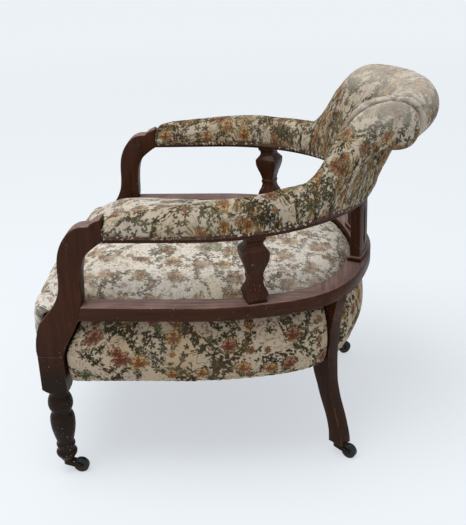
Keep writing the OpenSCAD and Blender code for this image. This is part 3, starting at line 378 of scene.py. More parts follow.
def lobed(f, away, pick, radius, lobes, cut):
    """How far out a point lies, 1 at the outline, the wave that cuts the lobes, and the point's angle."""
    across = f.parts(away)
    angle = f.math("ARCTAN2", across[1], across[0])
    wave = f.math("ABSOLUTE", f.math("COSINE", f.fused(angle, lobes / 2, f.times(pick[0], math.tau))))
    size = f.times(f.fused(pick[1], 0.45, 0.72), radius)
    outline = f.times(f.fused(wave, cut, 1 - cut), size)
    return f.math("DIVIDE", f.vector("LENGTH", away, output=1), outline), wave, angle


print("shapes: lobed outlines in scattered cells")

# %% [markdown]
# ## Floral tapestry: flowers
#
# A woven rose is a ring of petals, each a patch of one thread colour inside a dark outline. A
# second cell pattern, laid out by angle and distance from the flower's middle, gives the petals.

# %% Flowers
GOLD = [(0.0, (0.10, 0.035, 0.016)), (0.28, (0.27, 0.105, 0.035)), (0.50, (0.50, 0.26, 0.095)),
        (0.72, (0.62, 0.40, 0.19)), (1.0, (0.66, 0.52, 0.34))]
RUST = [(0.0, (0.070, 0.024, 0.014)), (0.28, (0.19, 0.062, 0.032)), (0.50, (0.34, 0.135, 0.072)),
        (0.72, (0.48, 0.27, 0.165)), (1.0, (0.58, 0.44, 0.32))]
SAGE = [(0.0, (0.036, 0.038, 0.018)), (0.28, (0.085, 0.090, 0.042)), (0.50, (0.185, 0.185, 0.092)),
        (0.72, (0.34, 0.32, 0.185)), (1.0, (0.50, 0.46, 0.32))]
FLOWER_LINE, FLOWER_EDGE, FLOWER_NEAR = (0.034, 0.018, 0.010), (0.96, 1.06), (1.25, 1.45)
PETAL_ROUND, PETAL_DEEP = 1.15, 2.7


def flowers(f, place, ragged, pitch, radius, shift, share):
    """Gives the flowers' colour, where they lie, and where their near surroundings do."""
    away, pick = cells(f, place, pitch, shift, 0.8)
    reach, _, angle = lobed(f, away, pick, radius, 7, 0.24)
    reach = f.fused(ragged, 0.8, reach)
    spot = f.add("CombineXYZ", feeds=((0, f.times(angle, PETAL_ROUND)), (1, f.times(reach, PETAL_DEEP))))
    edge = cells(f, spot, 1.0, shift, feature="DISTANCE_TO_EDGE")
    _, petal = cells(f, spot, 1.0, shift)
    tone = f.fused(ragged, 0.35, f.fused(petal[0], 0.62, f.fused(reach, 0.42, -0.10)))
    shade = f.mix(f.soft(pick[2], 0.56, 0.58), f.ramp(tone, GOLD), f.ramp(tone, RUST))
    shade = f.mix(f.soft(pick[2], 0.82, 0.84), shade, f.ramp(tone, SAGE))
    shade = f.mix(f.soft(edge, 0.06, 0.15, (0.88, 0.0)), shade, FLOWER_LINE)
    shade = f.mix(f.soft(reach, 0.86, 0.96, (0.0, 0.7)), shade, FLOWER_LINE)
    there = f.soft(pick[0], share - 0.01, share, (1.0, 0.0))
    on, near = [f.times(f.soft(reach, *run, (1.0, 0.0)), there) for run in (FLOWER_EDGE, FLOWER_NEAR)]
    return shade, on, near


print("flower tones:", len(GOLD) + len(RUST) + len(SAGE))

# %% [markdown]
# ## Floral tapestry: branches
#
# Stems wander over the cloth with leaflets close on both sides. A smooth noise has long winding
# level lines, so one of its levels is drawn as the stem, and leaf-shaped cells show only where
# the noise is near that level. The feathery plumes on the pads are wide lobed shapes with fine
# lines that fan out from their middles and curl.

# %% Branches
SPRAY_TONES = [(0.0, (0.022, 0.020, 0.009)), (0.22, (0.062, 0.032, 0.014)), (0.42, (0.060, 0.058, 0.030)),
               (0.58, (0.020, 0.014, 0.007)), (0.72, (0.110, 0.078, 0.032)), (0.88, (0.042, 0.044, 0.022))]


def near_level(f, field, level, low, high):
    """1 where the field is within low of the level, fading to 0 at high."""
    return f.soft(f.math("ABSOLUTE", f.math("SUBTRACT", field, level)), low, high, (1.0, 0.0))


def leaves(f, place, ragged, pitch, radius, lobes, cut, shift, tone):
    """Gives the leaves' colour and where they lie."""
    away, pick = cells(f, place, pitch, shift)
    reach, wave, _ = lobed(f, away, pick, radius, lobes, cut)
    reach = f.fused(ragged, 0.5, reach)
    leaf = f.mix(f.soft(pick[2], 0.3, 0.8, (0.0, 0.7)), tone, LEAF_DARK)
    vein = f.times(f.soft(wave, 0.96, 0.99), f.soft(reach, 0.2, 0.4))
    return f.over(vein, leaf, LEAF_LINE, 0.5), f.soft(reach, 0.88, 1.0, (1.0, 0.0))


print("spray tones:", len(SPRAY_TONES))

# %% [markdown]
# ## Floral tapestry: the ground
#
# Under the drawing lies an uneven cream with faint tan shading and small dark marks, where
# threads of other colours come up between the pale ones. Gold plumes and thin winding curls,
# the palest parts of the drawing, go straight on to it.

# %% The cloth's ground
TAN, FINE_MARK, STEM = (0.42, 0.30, 0.17), (0.085, 0.058, 0.028), (0.040, 0.030, 0.015)
HALO, FOLD_SHADE = (0.50, 0.42, 0.23), (0.070, 0.052, 0.034)
WEAVE_DARK, PORE_DARK = (0.05, 0.04, 0.03), (0.10, 0.085, 0.06)
GILT = [(0.30, (0.105, 0.052, 0.020)), (0.42, (0.33, 0.185, 0.070)), (0.52, (0.55, 0.375, 0.185)),
        (0.62, (0.50, 0.43, 0.29)), (0.72, (0.22, 0.19, 0.10))]
STITCH, SWAY, RIB = 0.0009, 0.0055, 0.0016
CREAM, PAD_CREAM, WARM_CREAM = (0.815, 0.755, 0.665), (0.555, 0.480, 0.375), (0.540, 0.430, 0.315)
TOP_PALING_RUN = (0.64, 0.70)


def toned(colour, *factors):
    return tuple(c * k for c, k in zip(colour, factors * (3 // len(factors))))


def patches(f, vector, fine, coarse):
    """Fine spots that come in patches: each is a noise's scale and detail and the run it fades in over."""
    spots, where = [f.soft(f.noise(vector, scale, detail), *run) for scale, detail, run in (fine, coarse)]
    return f.times(spots, where)


def unfigured(f, cloth, place, ground, bold):
    """The cloth without its drawing: uneven cream, faint tan shading and small dark marks."""
    colour = f.mix(f.soft(f.noise(cloth, 14.0, 3.0), 0.35, 0.65), toned(ground, 0.88, 0.89, 0.93),
                   toned(ground, 0.93, 0.86, 0.74))
    colour = f.mix(f.soft(f.noise(cloth, 5.0, 2.0), 0.4, 0.6), colour, ground)
    slub = f.soft(f.noise(f.scaled(cloth, (180, 900, 1)), 1.0, 3.0), 0.45, 0.75)
    colour = f.over(slub, colour, toned(ground, 0.72), 0.35)
    shading = patches(f, place, (95.0, 2.5, (0.50, 0.56)), (19.0, 2.0, (0.46, 0.58)))
    colour = f.over(shading, colour, TAN, 0.45)
    bits = patches(f, place, (190.0, 2.0, (0.57, 0.61)), (24.0, 2.0, (0.42, 0.52)))
    return f.over(bits, colour, FINE_MARK, 0.35 + 0.35 * bold)


def plumes(f, place, ragged, colour, share):
    away, pick = cells(f, place, 0.062, 2.6)
    reach, _, angle = lobed(f, away, pick, 0.034, 5, 0.40)
    twist = f.times(f.vector("LENGTH", away, output=1), 110.0)
    swirl = f.fused(ragged, 1.5, f.math("ADD", twist, f.times(pick[2], math.tau)))
    hairs = f.soft(f.math("SINE", f.fused(angle, 21.0, f.times(swirl, 3.0))), 0.0, 0.7)
    broad = f.fused(f.math("SINE", f.fused(angle, 5.0, swirl)), 0.17, 0.50)
    shown = f.times(f.soft(reach, 0.82, 1.08, (1.0, 0.0)), f.soft(pick[0], 0.84, 0.85, (share, 0.0)))
    colour = f.over(shown, colour, f.ramp(f.fused(ragged, 0.16, broad), GILT), 0.80)
    return f.over(f.times(hairs, shown), colour, FINE_MARK, 0.80)


def curls(f, place):
    """Thin winding lines, in patches."""
    field = f.noise(f.vector("ADD", place, (3.1, 1.7, 0)), 34.0, 1.0)
    lines = f.math("MAXIMUM", *(near_level(f, field, level, 0.006, 0.016) for level in (0.44, 0.57)))
    return f.times(lines, f.soft(f.noise(place, 13.0), 0.44, 0.52))


print("grounds:", CREAM, PAD_CREAM, WARM_CREAM)

# %% [markdown]
# ## Floral tapestry: the whole cloth
#
# The drawing is laid over the ground from the palest to the darkest: plumes, curls, stems,
# leaves, flowers. The coordinates are stepped by about a millimetre first, which gives every
# outline the jagged edge that weaving gives, and the ribs and specks of the weave come last. The
# seat is the most faded, the bands under it have kept their colour.

# %% Tapestry finish
# Each branch: the noise's scale and level, how far from the level its stem and its leaves reach,
# and the leaves' pitch and size.
BRANCH_LONG = (8.0, 0.50, 0.0026, 0.042, 0.0112, 0.0074)
BRANCH_SHORT = (13.0, 0.46, 0.0034, 0.034, 0.0084, 0.0055)
BRANCH_FINE = (15.0, 0.54, 0.0034, 0.036, 0.0066, 0.0044)
SMALL_FLOWERS, SPRIG_LEAVES = (0.033, 0.0078, 1.9, 0.30), (0.0185, 0.0100, 5, 0.80, 5.7)


def tapestry(name, ground, bold, fade, branches, roses, sprigs, plume=0.0, top_paling=0.0):
    """ground is the cream of the cloth there, bold how strongly the drawing stands out, fade how far
    it has faded at least and at most, roses their pitch, reach, shift and share, sprigs the level
    above which they show, plume the share of gold feathery strokes, and the last how much paler the
    cloth is made at its highest part, by height alone."""
    f = Finish(name)
    cloth = f.add("Attribute", "Vector", attribute_name="cloth")
    place = f.vector("SNAP", cloth, (STITCH, STITCH, 1))
    sway = f.vector("SUBTRACT", f.noise(place, 46.0, 3.0, 1), (0.5, 0.5, 0.5))
    place = f.vector("ADD", place, f.scaled(sway, (SWAY, SWAY, 0)))
    ragged = f.fused(f.noise(place, 520.0, 2.0), 0.9, -0.45)
    strength, bloom = 0.62 + 0.36 * bold, 0.40 + 0.56 * bold

    colour = unfigured(f, cloth, place, ground, bold)
    if plume:
        colour = plumes(f, place, ragged, colour, plume)
    colour = f.over(curls(f, place), colour, FINE_MARK, 0.30 + 0.45 * bold)
    tone = f.ramp(cells(f, place, 0.046, 4.4)[1][0], SPRAY_TONES, True)
    for number, (scale, level, line, band, pitch, radius) in enumerate(branches):
        field = f.noise(f.vector("ADD", place, (number * 7.7, number * 5.2, 0)), scale, 0.5)
        leaf, on = leaves(f, place, ragged, pitch, radius, 2, 0.66, 3.1 + number * 5.3, tone)
        colour = f.over(f.times(on, near_level(f, field, level, band, band + 0.004)), colour, leaf, strength)
        colour = f.over(near_level(f, field, level, line, line * 2), colour, STEM, strength)

    rose, rose_on, rose_near = flowers(f, place, ragged, *roses)
    small, small_on, _ = flowers(f, place, ragged, *SMALL_FLOWERS)
    colour = f.over(rose_near, colour, HALO, 0.30)
    leaf, on = leaves(f, place, ragged, *SPRIG_LEAVES, tone)
    here = f.math("MAXIMUM", f.soft(f.noise(place, 20.0, 2.0), sprigs, sprigs + 0.02), rose_near)
    colour = f.over(f.times(on, here), colour, leaf, strength)
    colour = f.over(rose_on, f.over(small_on, colour, small, bloom), rose, bloom)

    ribs = f.parts(f.scaled(cloth, [math.tau / RIB] * 3))
    threads = f.times(f.math("SINE", ribs[0]), f.math("SINE", ribs[1]))
    speck = f.noise(f.scaled(cloth, (700, 1100, 1)), 1.0, 1.0)
    colour = f.mix(f.soft(f.noise(cloth, 6.0, 3.0), 0.40, 0.75, fade), colour, ground)
    # Paler toward the top: the highest part of the cloth is mixed toward cream, by height alone.
    if top_paling:
        high = f.parts(f.add("TexCoord", "Object"))[2]
        colour = f.mix(f.soft(high, *TOP_PALING_RUN, (0.0, top_paling)), colour, CREAM)
    colour = f.mix(f.soft(speck, 0.25, 0.75, (0.0, 0.30)), colour, PORE_DARK, "MULTIPLY")
    colour = f.mix(f.fused(threads, 0.05, 0.05), colour, WEAVE_DARK)
    # Painted shade: the cloth is darkened toward deep brown in the back's folds, by the value written at each
    # point.
    colour = f.mix(f.add("Attribute", "Fac", attribute_name="dirt_and_fold_shade"), colour, FOLD_SHADE)
    return f.surface(colour, 0.95, f.fused(threads, 0.5, speck), 0.0004, 0.45, Sheen_Weight=0.02,
                     Sheen_Roughness=0.5, Specular_IOR_Level=0.03)


tapestry_seat = tapestry("tapestry_seat", CREAM, 0.33, (0.06, 0.26), [BRANCH_SHORT],
                         (0.056, 0.0185, 6.3, 0.66), 0.50)
tapestry_pads = tapestry("tapestry_pads", PAD_CREAM, 0.74, (0.00, 0.10), [BRANCH_SHORT, BRANCH_FINE],
                         (0.049, 0.0160, 6.3, 0.62), 0.46, 1.0, 0.40)
tapestry_bands = tapestry("tapestry_bands", WARM_CREAM, 1.0, (0.0, 0.08), [BRANCH_LONG, BRANCH_SHORT],
                          (0.054, 0.0170, 6.3, 0.70), 0.52)
print("tapestry nodes:", len(tapestry_seat.node_tree.nodes))

# %% [markdown]
# ## Show wood with eased edges
#
# A maker takes the sharpness off every edge with a scraper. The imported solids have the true
# shapes, with sharp edges, so each show-wood piece is copied, its flat faces are made whole
# again, and its edges are rounded by a bevel. The copy then stands for the solid.

# %% Ease the edges
EASE, WELD = 1.6 * MM, 1e-6
SHARP_ANGLE, FLAT_ANGLE = math.radians(28), math.radians(0.6)


def eased(node, finish):
    mesh = nodes[node].data.copy()
    mesh.name = node + "_eased"
    with edited(mesh) as work:
        bmesh.ops.remove_doubles(work, verts=work.verts, dist=WELD)
        bmesh.ops.dissolve_limit(work, angle_limit=FLAT_ANGLE, verts=work.verts, edges=work.edges)
        for part in (*work.faces, *work.edges):
            part.smooth = True
    piece = linked(node + "_eased", mesh)
    mesh.materials.clear()
    mesh.materials.append(finish)
    bevel = piece.modifiers.new("eased_edges", "BEVEL")
    bevel.width, bevel.segments, bevel.limit_method, bevel.angle_limit = EASE, 2, "ANGLE", SHARP_ANGLE
    bevel.harden_normals = True
    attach(piece, "root")
    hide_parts(node)


SIDES = ("left", "right")
PAIRED = (("arm_post", wood_upright), ("front_leg", wood_turned), ("rear_leg", wood_upright),
          ("baluster", wood_upright), ("seat_bow", wood_fore_aft), ("arm_rail", wood_fore_aft))
SINGLE = (("seat_bow_back", wood_across), ("arm_rail_back", wood_across), ("back_splat", wood_upright))
for side in SIDES:
    for node, finish in PAIRED:
        eased(f"{node}_{side}", finish)
for node, finish in SINGLE:
    eased(node, finish)
print("eased pieces:", len(PAIRED) * len(SIDES) + len(SINGLE))

# %% [markdown]
# ## Finishes for the solids that stay
#
# The inner frame, springs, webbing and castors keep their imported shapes, and only get finishes.

# %% Finish the kept solids
KEPT = (("frame_rail", beech), ("corner_blocks", beech), ("back_staves", beech), ("crest_hoop", beech),
        ("dowels", beech), ("seat_webbing", jute), ("spring_canvas", jute), ("seat_springs", bright_steel),
        ("leg_screws", bright_steel), ("castor_plate", dark_brass), ("castor_horn", dark_brass),
        ("castor_axle", dark_iron), ("castor_wheel", wheel_black))
for node, item in nodes.items():
    for start, finish in KEPT:
        if node.startswith(start):
            item.data.materials.clear()
            item.data.materials.append(finish)
print("kept solids:", [start for start, _ in KEPT])

# %% [markdown]
# ## The chair's plan
#
# The arm rail follows half an ellipse behind the arms' straight sides, and the seat rail the same
# curve, fuller at its two rear quarters. Angles run from the sitter's left side, 0, to the
# right side, 180, and off is a distance outward from the rail's outer face.

# %% Plan curves
HALF_WIDTH, REAR_DEPTH, SIDE_RUN, QUARTER_FULL = 0.303, 0.334, 0.288, 0.0205
PLAN_SHIFT = -0.0665
RAIL_WIDTH = 0.038
SEAT_RAIL_TOP, ARM_RAIL_TOP = 0.375, 0.525


def quarter_point(angle, off=0.0, full=0.0):
    """Plan points of the curve at angles in degrees, moved outward by off."""
    def on_curve(a):
        a = np.radians(a)
        out = np.stack([np.cos(a) / HALF_WIDTH, np.sin(a) / REAR_DEPTH], -1)
        out /= np.linalg.norm(out, axis=-1, keepdims=True)
        base = np.stack([HALF_WIDTH * np.cos(a), REAR_DEPTH * np.sin(a)], -1)
        return base + full * np.sin(2 * a)[..., None] ** 4 * out
    angle = np.asarray(angle, float)
    run = on_curve(angle + 1) - on_curve(angle - 1)
    run /= np.linalg.norm(run, axis=-1, keepdims=True)
    out = np.stack([run[..., 1], -run[..., 0]], -1)
    return on_curve(angle) + np.asarray(off)[..., None] * out


def ease(t):
    t = np.clip(t, 0, 1)
    return t * t * (3 - 2 * t)


def blend_of(a, b, t):
    return a * (1 - t) + b * t


def place_ring(plan, heights):
    """Row-frame points from plan points drawn about the centre of the rear curve."""
    return np.column_stack([plan[:, 0], plan[:, 1] + PLAN_SHIFT, heights])


print("rear of the rail:", quarter_point(90.0).round(4))

# %% [markdown]
# ## Building a pad
#
# Each stuffed piece starts as rings of points along its length, joined into one closed skin. The
# rings carry the cloth's own measurements, how far along and how far round in metres, so the
# pattern follows the cover as a cut length of cloth does.

# %% A closed skin from rings
def write_values(mesh, name, kind, values):
    """Writes a named value at each point, in place of an older one of that name."""
    if mesh.attributes.get(name):
        mesh.attributes.remove(mesh.attributes[name])
    field = mesh.attributes.new(name, kind, "POINT")
    field.data.foreach_set("vector" if kind == "FLOAT_VECTOR" else "value", np.float32(values).ravel())


def read(mesh, what="co"):
    flat = np.empty(len(mesh.vertices) * 3)
    mesh.vertices.foreach_get(what, flat)
    return flat.reshape(-1, 3)


def move_to(mesh, points):
    mesh.vertices.foreach_set("co", points.ravel())
    mesh.update()


def around_length(ring):
    steps = np.linalg.norm(np.diff(ring, axis=0), axis=1)
    return np.concatenate([[0], np.cumsum(steps)])


def laid(rings, marks, section):
    """The rings as one array, and their cloth: marks along the piece, the section's own length round it."""
    rings = np.array(rings)
    cloth = np.zeros_like(rings)
    cloth[..., 0], cloth[..., 1] = np.array(marks)[:, None], around_length(section)[None, :]
    return rings, cloth


def closed_skin(name, rings, cloth, finish):
    """rings is (count, around, 3). The two ends close on their middle points."""
    count, around = rings.shape[:2]
    points, marks = [np.concatenate([a.reshape(-1, 3), a[0].mean(0)[None], a[-1].mean(0)[None]])
                     for a in (rings, cloth)]
    first, last, base = count * around, count * around + 1, (count - 1) * around
    steps = [(i, (i + 1) % around) for i in range(around)]
    faces = [(r + i, r + j, r + around + j, r + around + i) for r in range(0, base, around) for i, j in steps]
    for i, j in steps:
        faces += [(first, j, i), (last, base + i, base + j)]
    mesh = bpy.data.meshes.new(name)
    mesh.from_pydata(points.tolist(), [], faces)
    write_values(mesh, "cloth", "FLOAT_VECTOR", marks)
    with edited(mesh) as work:
        bmesh.ops.recalc_face_normals(work, faces=work.faces)
    mesh.polygons.foreach_set("use_smooth", [True] * len(mesh.polygons))
    mesh.materials.append(finish)
    return linked(name, mesh)


print("skin helpers ready")

# %% [markdown]
# ## Stuffing a pad
#
# Stuffing swells a cover between its nailed edges. Cloth simulation does the same here: the
# skin is blown up from inside, its nailed points are held, and no point moves past a limit, so
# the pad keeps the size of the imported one.

# %% Stuffing
STUFFED = dict(quality=4, mass=0.25, tension_stiffness=18, compression_stiffness=18, shear_stiffness=8,
               bending_stiffness=0.6, use_pressure=True)
STUFF_STEPS = 16


def held_but(count, around, first, last):
    """1 for every point except those of the inner rings from first up to last round the section."""
    held = np.ones((count, around))
    held[1:-1, first:last] = 0
    return np.append(held, [1, 1])


def stuff(piece, held, pressure, cap, loose):
    """Blows the skin up between its held points, and never moves a point by more than cap."""
    start = read(piece.data)
    group = piece.vertex_groups.new(name="held")
    for index in range(len(start)):
        group.add([index], float(held[index]), "REPLACE")
    cloth = piece.modifiers.new("cloth", "CLOTH")
    settings = dict(STUFFED, uniform_pressure_force=pressure, shrink_min=-loose, shrink_max=-loose,
                    vertex_group_mass="held")
    for key, value in settings.items():
        setattr(cloth.settings, key, value)
    cloth.settings.effector_weights.gravity = 0
    cloth.collision_settings.use_collision = False
    cloth.point_cache.frame_start, cloth.point_cache.frame_end = 1, STUFF_STEPS
    for step in range(1, STUFF_STEPS + 1):
        bpy.context.scene.frame_set(step)
    moved = read(piece.evaluated_get(bpy.context.evaluated_depsgraph_get()).data) - start
    far = np.linalg.norm(moved, axis=1, keepdims=True)
    piece.modifiers.remove(cloth)
    piece.vertex_groups.clear()
    bpy.context.scene.frame_set(1)
    move_to(piece.data, start + moved * np.minimum(1, cap / np.maximum(far, 1e-9)))
    print(piece.name, "stuffed: moved", round(float(far.max()) * 1000, 1), "mm at most before the cap")


def press(piece, depth):
    """Presses the skin in along its normals, by metres at each point of its rings."""
    depth = np.append(depth, [0, 0])
    move_to(piece.data, read(piece.data) - read(piece.data, "normal") * depth[:, None])


def finished_pad(piece, nodes_replaced):
    smooth = piece.modifiers.new("smooth_cover", "SUBSURF")
    smooth.levels = smooth.render_levels = 1
    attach(piece, "root")
    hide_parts(*nodes_replaced)


print("stuffing takes", STUFF_STEPS, "steps")

# %% [markdown]
# ## The padded back
#
# The back is a thick pad that stands on the arm rail, leans out, and rolls over at the top into a
# scroll. One section does for all of it: an inner face, a round roll and an outer face. Along the
# curve the roll grows, rises and leans, from the arms' height to the crest. The cover is nailed
# along its two lower edges, so only those are held while it is stuffed.

# %% The back's section
PAD_FOOT, FOOT_OUT, FOOT_IN = 0.511, 0.0025, -0.047
PAD_CLEAR, INNER_BULGE = 1 * MM, 4 * MM
WING_FROM, WING_TO, LEAN_FROM, TURN_TO = 43, 66, 45, 72
ARM_PAD_OFF, ARM_PAD_R, ARM_PAD_FRONT, ARM_PAD_REAR = -0.023, 0.028, 0.556, 0.573
CREST, SCROLL_R, SCROLL_LEAN = 0.707, 0.045, 0.073
INNER_COUNT, ROLL_COUNT, OUTER_COUNT = 24, 46, 20
BACK_FROM = 42


def pad_section(off, z, r, turn, wide=1.0, flat=1.0):
    """A closed section as (off, height) points, from the inner foot over the roll to the outer foot."""
    low, high = math.radians(-118 * turn), math.radians(180 - 32 * turn)
    sweep = np.linspace(high, low, ROLL_COUNT)
    roll = np.column_stack([off + r * wide * np.cos(sweep), z + flat * r * np.sin(sweep)])
    t = np.linspace(0, 1, INNER_COUNT, endpoint=False)[:, None]
    inner = blend_of(np.array([FOOT_IN, PAD_FOOT]), roll[0], t)
    inner[:, 0] -= INNER_BULGE * np.sin(np.pi * t[:, 0])
    t = np.linspace(0, 1, OUTER_COUNT + 1)[1:, None]
    outer = blend_of(roll[-1], np.array([FOOT_OUT, PAD_FOOT]), t)
    top = ARM_RAIL_TOP + 0.0003
    under = np.array([[PAD_CLEAR, PAD_FOOT], [PAD_CLEAR, top], [-RAIL_WIDTH / 2, top],
                      [-RAIL_WIDTH - PAD_CLEAR, top], [-RAIL_WIDTH - PAD_CLEAR, PAD_FOOT]])
    return np.concatenate([inner, roll, outer, under])


SKIN_COUNT = INNER_COUNT + ROLL_COUNT + OUTER_COUNT


def back_section(angle):
    h = min(angle, 180 - angle)
    top = blend_of(ARM_PAD_REAR, CREST, ease((h - WING_FROM) / (WING_TO - WING_FROM)))
    rise = math.sin(math.radians(90 * max(h - LEAN_FROM, 0) / (90 - LEAN_FROM)))
    lean = blend_of(ARM_PAD_OFF, SCROLL_LEAN, rise ** 1.3)
    r = blend_of(ARM_PAD_R, SCROLL_R, ease((h - LEAN_FROM) / (TURN_TO - LEAN_FROM)))
    turn = float(ease((h - WING_FROM) / (TURN_TO - WING_FROM)))
    return pad_section(lean, top - r, r, turn)


def ring_at_angle(section, angle, full=0.0):
    return place_ring(quarter_point(np.full(len(section), angle), section[:, 0], full), section[:, 1])


print("points round the back's section:", SKIN_COUNT + 5)

# %% [markdown]
# ## Cutting the cover flat
#
# A cover is cut flat and pulled over the stuffing, so its pattern is hardly stretched anywhere.
# To find where each point of the pad lies on the flat cloth, the grid of the pad is laid out flat
# and its threads are treated as springs, which push and pull until each has its length on the pad.

# %% Lay a grid out flat
def flat_pattern(rings, start, rounds=260):
    """rings is (count, around, 3) and start a first flat layout, (count, around, 2)."""
    flat = start.copy()
    count, across = rings.shape[:2]
    pairs = []
    for down, side in ((1, 0), (0, 1), (1, 1), (1, -1)):
        a = (slice(0, count - down), slice(max(0, -side), across - max(0, side)))
        b = (slice(down, count), slice(max(0, side), across + min(0, side)))
        pairs.append((a, b, np.linalg.norm(rings[b] - rings[a], axis=-1)))
    links = np.zeros((count, across, 1))
    for a, b, _ in pairs:
        links[a] += 1
        links[b] += 1
    for _ in range(rounds):
        move = np.zeros_like(flat)
        for a, b, length in pairs:
            gap = flat[b] - flat[a]
            now = np.linalg.norm(gap, axis=-1)
            pull = gap * (0.5 * (1 - length / np.maximum(now, 1e-9)))[..., None]
            move[a] += pull
            move[b] -= pull
        flat += 1.6 * move / links
    return flat


print("a flat pattern is found by relaxing a net of springs")

# %% [markdown]
# ## Building the back
#
# The sections stand side by side along the rail's curve, and the flat pattern tells where each of
# their points lies on the cloth. The underside, which stands on the rail, shows no cloth.

# %% Build the back
BACK_COUNT = 150
CLOTH_START = (0.41, 0.9)
back_angles = np.linspace(BACK_FROM, 180 - BACK_FROM, BACK_COUNT)
back_sections = [back_section(a) for a in back_angles]
back_rings = np.array([ring_at_angle(s, a) for s, a in zip(back_sections, back_angles)])
skin = back_rings[:, :SKIN_COUNT]
ridge = INNER_COUNT + ROLL_COUNT // 3
first_guess = np.zeros((BACK_COUNT, SKIN_COUNT, 2))
first_guess[..., 0] = around_length(skin[:, ridge])[:, None]
for r in range(BACK_COUNT):
    lengths = around_length(skin[r])
    first_guess[r, :, 1] = lengths - lengths[ridge]
back_cloth = np.zeros_like(back_rings)
back_cloth[:, :SKIN_COUNT, :2] = flat_pattern(skin, first_guess) + CLOTH_START
back_cloth[:, SKIN_COUNT:] = back_cloth[:, SKIN_COUNT - 1:SKIN_COUNT]
back = closed_skin("back_cover", back_rings, back_cloth, tapestry_pads)
around = back_rings.shape[1]
stuff(back, held_but(BACK_COUNT, around, 2, SKIN_COUNT - 1), 3.2, 5 * MM, 0.01)
print("back cover:", len(back.data.vertices), "points")

# %% [markdown]
# ## Pleats and creases in the back
#
# Where the wing turns into the crest the outside of the roll is longer than the inside, so the
# upholsterer laid the spare cloth in pleats that fan out from one point. Each pleat is a narrow
# valley with a soft ridge beside it, along a path that's given by angle and by share of the way
# round the section. The wing's rolled end stands over the crest with a lip.

# %% Folds along a path
DEGREE_RUN, SECTION_RUN = 5.4 * MM, 0.46
LIP_PATH = ((55, 0.425), (57.2, 0.455), (60, 0.472), (64.1, 0.502), (68, 0.512), (70.2, 0.537), (71.6, 0.574),
            (71.8, 0.620), (72.3, 0.690), (72.3, 0.760))
LIP_WIDTH, LIP_DEEP, LIP_SWELL = 5.0 * MM, 14.0 * MM, 7.5 * MM


def beside(angle, share, path):
    """How far each point of the grid lies from a path of (angle, share) points, on which side, and how
    far along the path its nearest point is, from 0 to 1."""
    scale = np.array([DEGREE_RUN, SECTION_RUN])
    path = np.asarray(path, float) * scale
    here = np.stack([angle, share], -1) * scale
    best, where, side = np.full(angle.shape, 1e9), np.zeros(angle.shape), np.zeros(angle.shape)
    for i, (a, b) in enumerate(zip(path, path[1:])):
        run, p = b - a, here - a
        t = np.clip((p @ run) / (run @ run), 0, 1)
        d = np.linalg.norm(p - t[..., None] * run, axis=-1)
        nearer = d < best
        best = np.where(nearer, d, best)
        where = np.where(nearer, (i + t) / (len(path) - 1), where)
        side = np.where(nearer, np.sign(p[..., 0] * run[1] - p[..., 1] * run[0]), side)
    return best, side, where


def fold(angle, share, path, width, depth):
    """The depth of one pleat at each point of the grid: a valley with a soft bank on each side."""
    best, _, where = beside(angle, share, path)
    fade = np.sin(np.pi * np.clip(where * 0.92 + 0.04, 0, 1)) ** 0.6
    bank = np.exp(-((best - 1.9 * width) / (1.1 * width)) ** 2)
    return depth * fade * (np.exp(-(best / width) ** 2) - 0.45 * bank)


def lip(angle, share):
    """The rolled end of the wing stands proud of the crest along a path: swollen on its own side of
    it, sunk on the other."""
    best, side, where = beside(angle, share, LIP_PATH)
    fade = np.sin(np.pi * np.clip(where * 0.80 + 0.10, 0, 1)) ** 0.8
    sunk = LIP_DEEP * np.exp(-(best / LIP_WIDTH) ** 1.4)
    swollen = LIP_SWELL * np.exp(-(best / (4.2 * LIP_WIDTH)) ** 2)
    swollen *= 1 - np.exp(-(best / (0.8 * LIP_WIDTH)) ** 2)
    own = 0.5 + 0.5 * np.tanh(-side * best / (0.35 * LIP_WIDTH))
    return fade * (sunk * (1 - own) - swollen * own)


print("the lip's path has", len(LIP_PATH), "points")

# %% [markdown]
# ## Pressing the folds in
#
# Both sides of the back get the same folds. They are pressed in after the stuffing, which would
# blow them out again, and the rolled end of each wing swells round its knob. Each point also keeps
# how deep it lies in a valley, for the painted shade that darkens the cloth in the folds.

# %% Press the folds in
FOLD_SHADE_MOST, FOLD_SHADE_DEPTH = 0.72, 7.0 * MM
KNOB, KNOB_RUN, KNOB_SWELL = (69.0, 0.680), (5.5, 0.060), 8.0 * MM
grid_angle = np.repeat(back_angles[:, None], SKIN_COUNT, 1)
grid_share = np.array([around_length(s[:SKIN_COUNT]) for s in back_sections])
grid_share /= grid_share[:, -1:]
# Each fold: its path as (angle, share) points, its half width and its depth.
WING_FOLDS = (
    (((65, 0.500), (70, 0.483), (73, 0.500), (74, 0.545), (74.7, 0.583), (75, 0.630)), 2.4 * MM, 5.0 * MM),
    (((65.8, 0.484), (74.5, 0.438), (78.3, 0.457), (78, 0.500), (77, 0.547), (77.5, 0.600)),
     2.4 * MM, 4.4 * MM),
    (((66.3, 0.466), (75, 0.420), (83, 0.410), (87, 0.440), (86, 0.500), (84, 0.560)), 2.6 * MM, 4.0 * MM),
    (((64, 0.440), (72, 0.385), (82, 0.360), (92, 0.365)), 2.6 * MM, 1.6 * MM),
    (((46.3, 0.793), (49.7, 0.764), (52.8, 0.706), (55.7, 0.674), (58, 0.640)), 1.6 * MM, 1.2 * MM),
    (((42.6, 0.560), (43.4, 0.672), (45.4, 0.800), (47.8, 0.985)), 3.0 * MM, 3.0 * MM),
    (((61, 0.26), (57, 0.34), (55, 0.42)), 3.0 * MM, 1.6 * MM),
)
depth = np.zeros(grid_angle.shape)
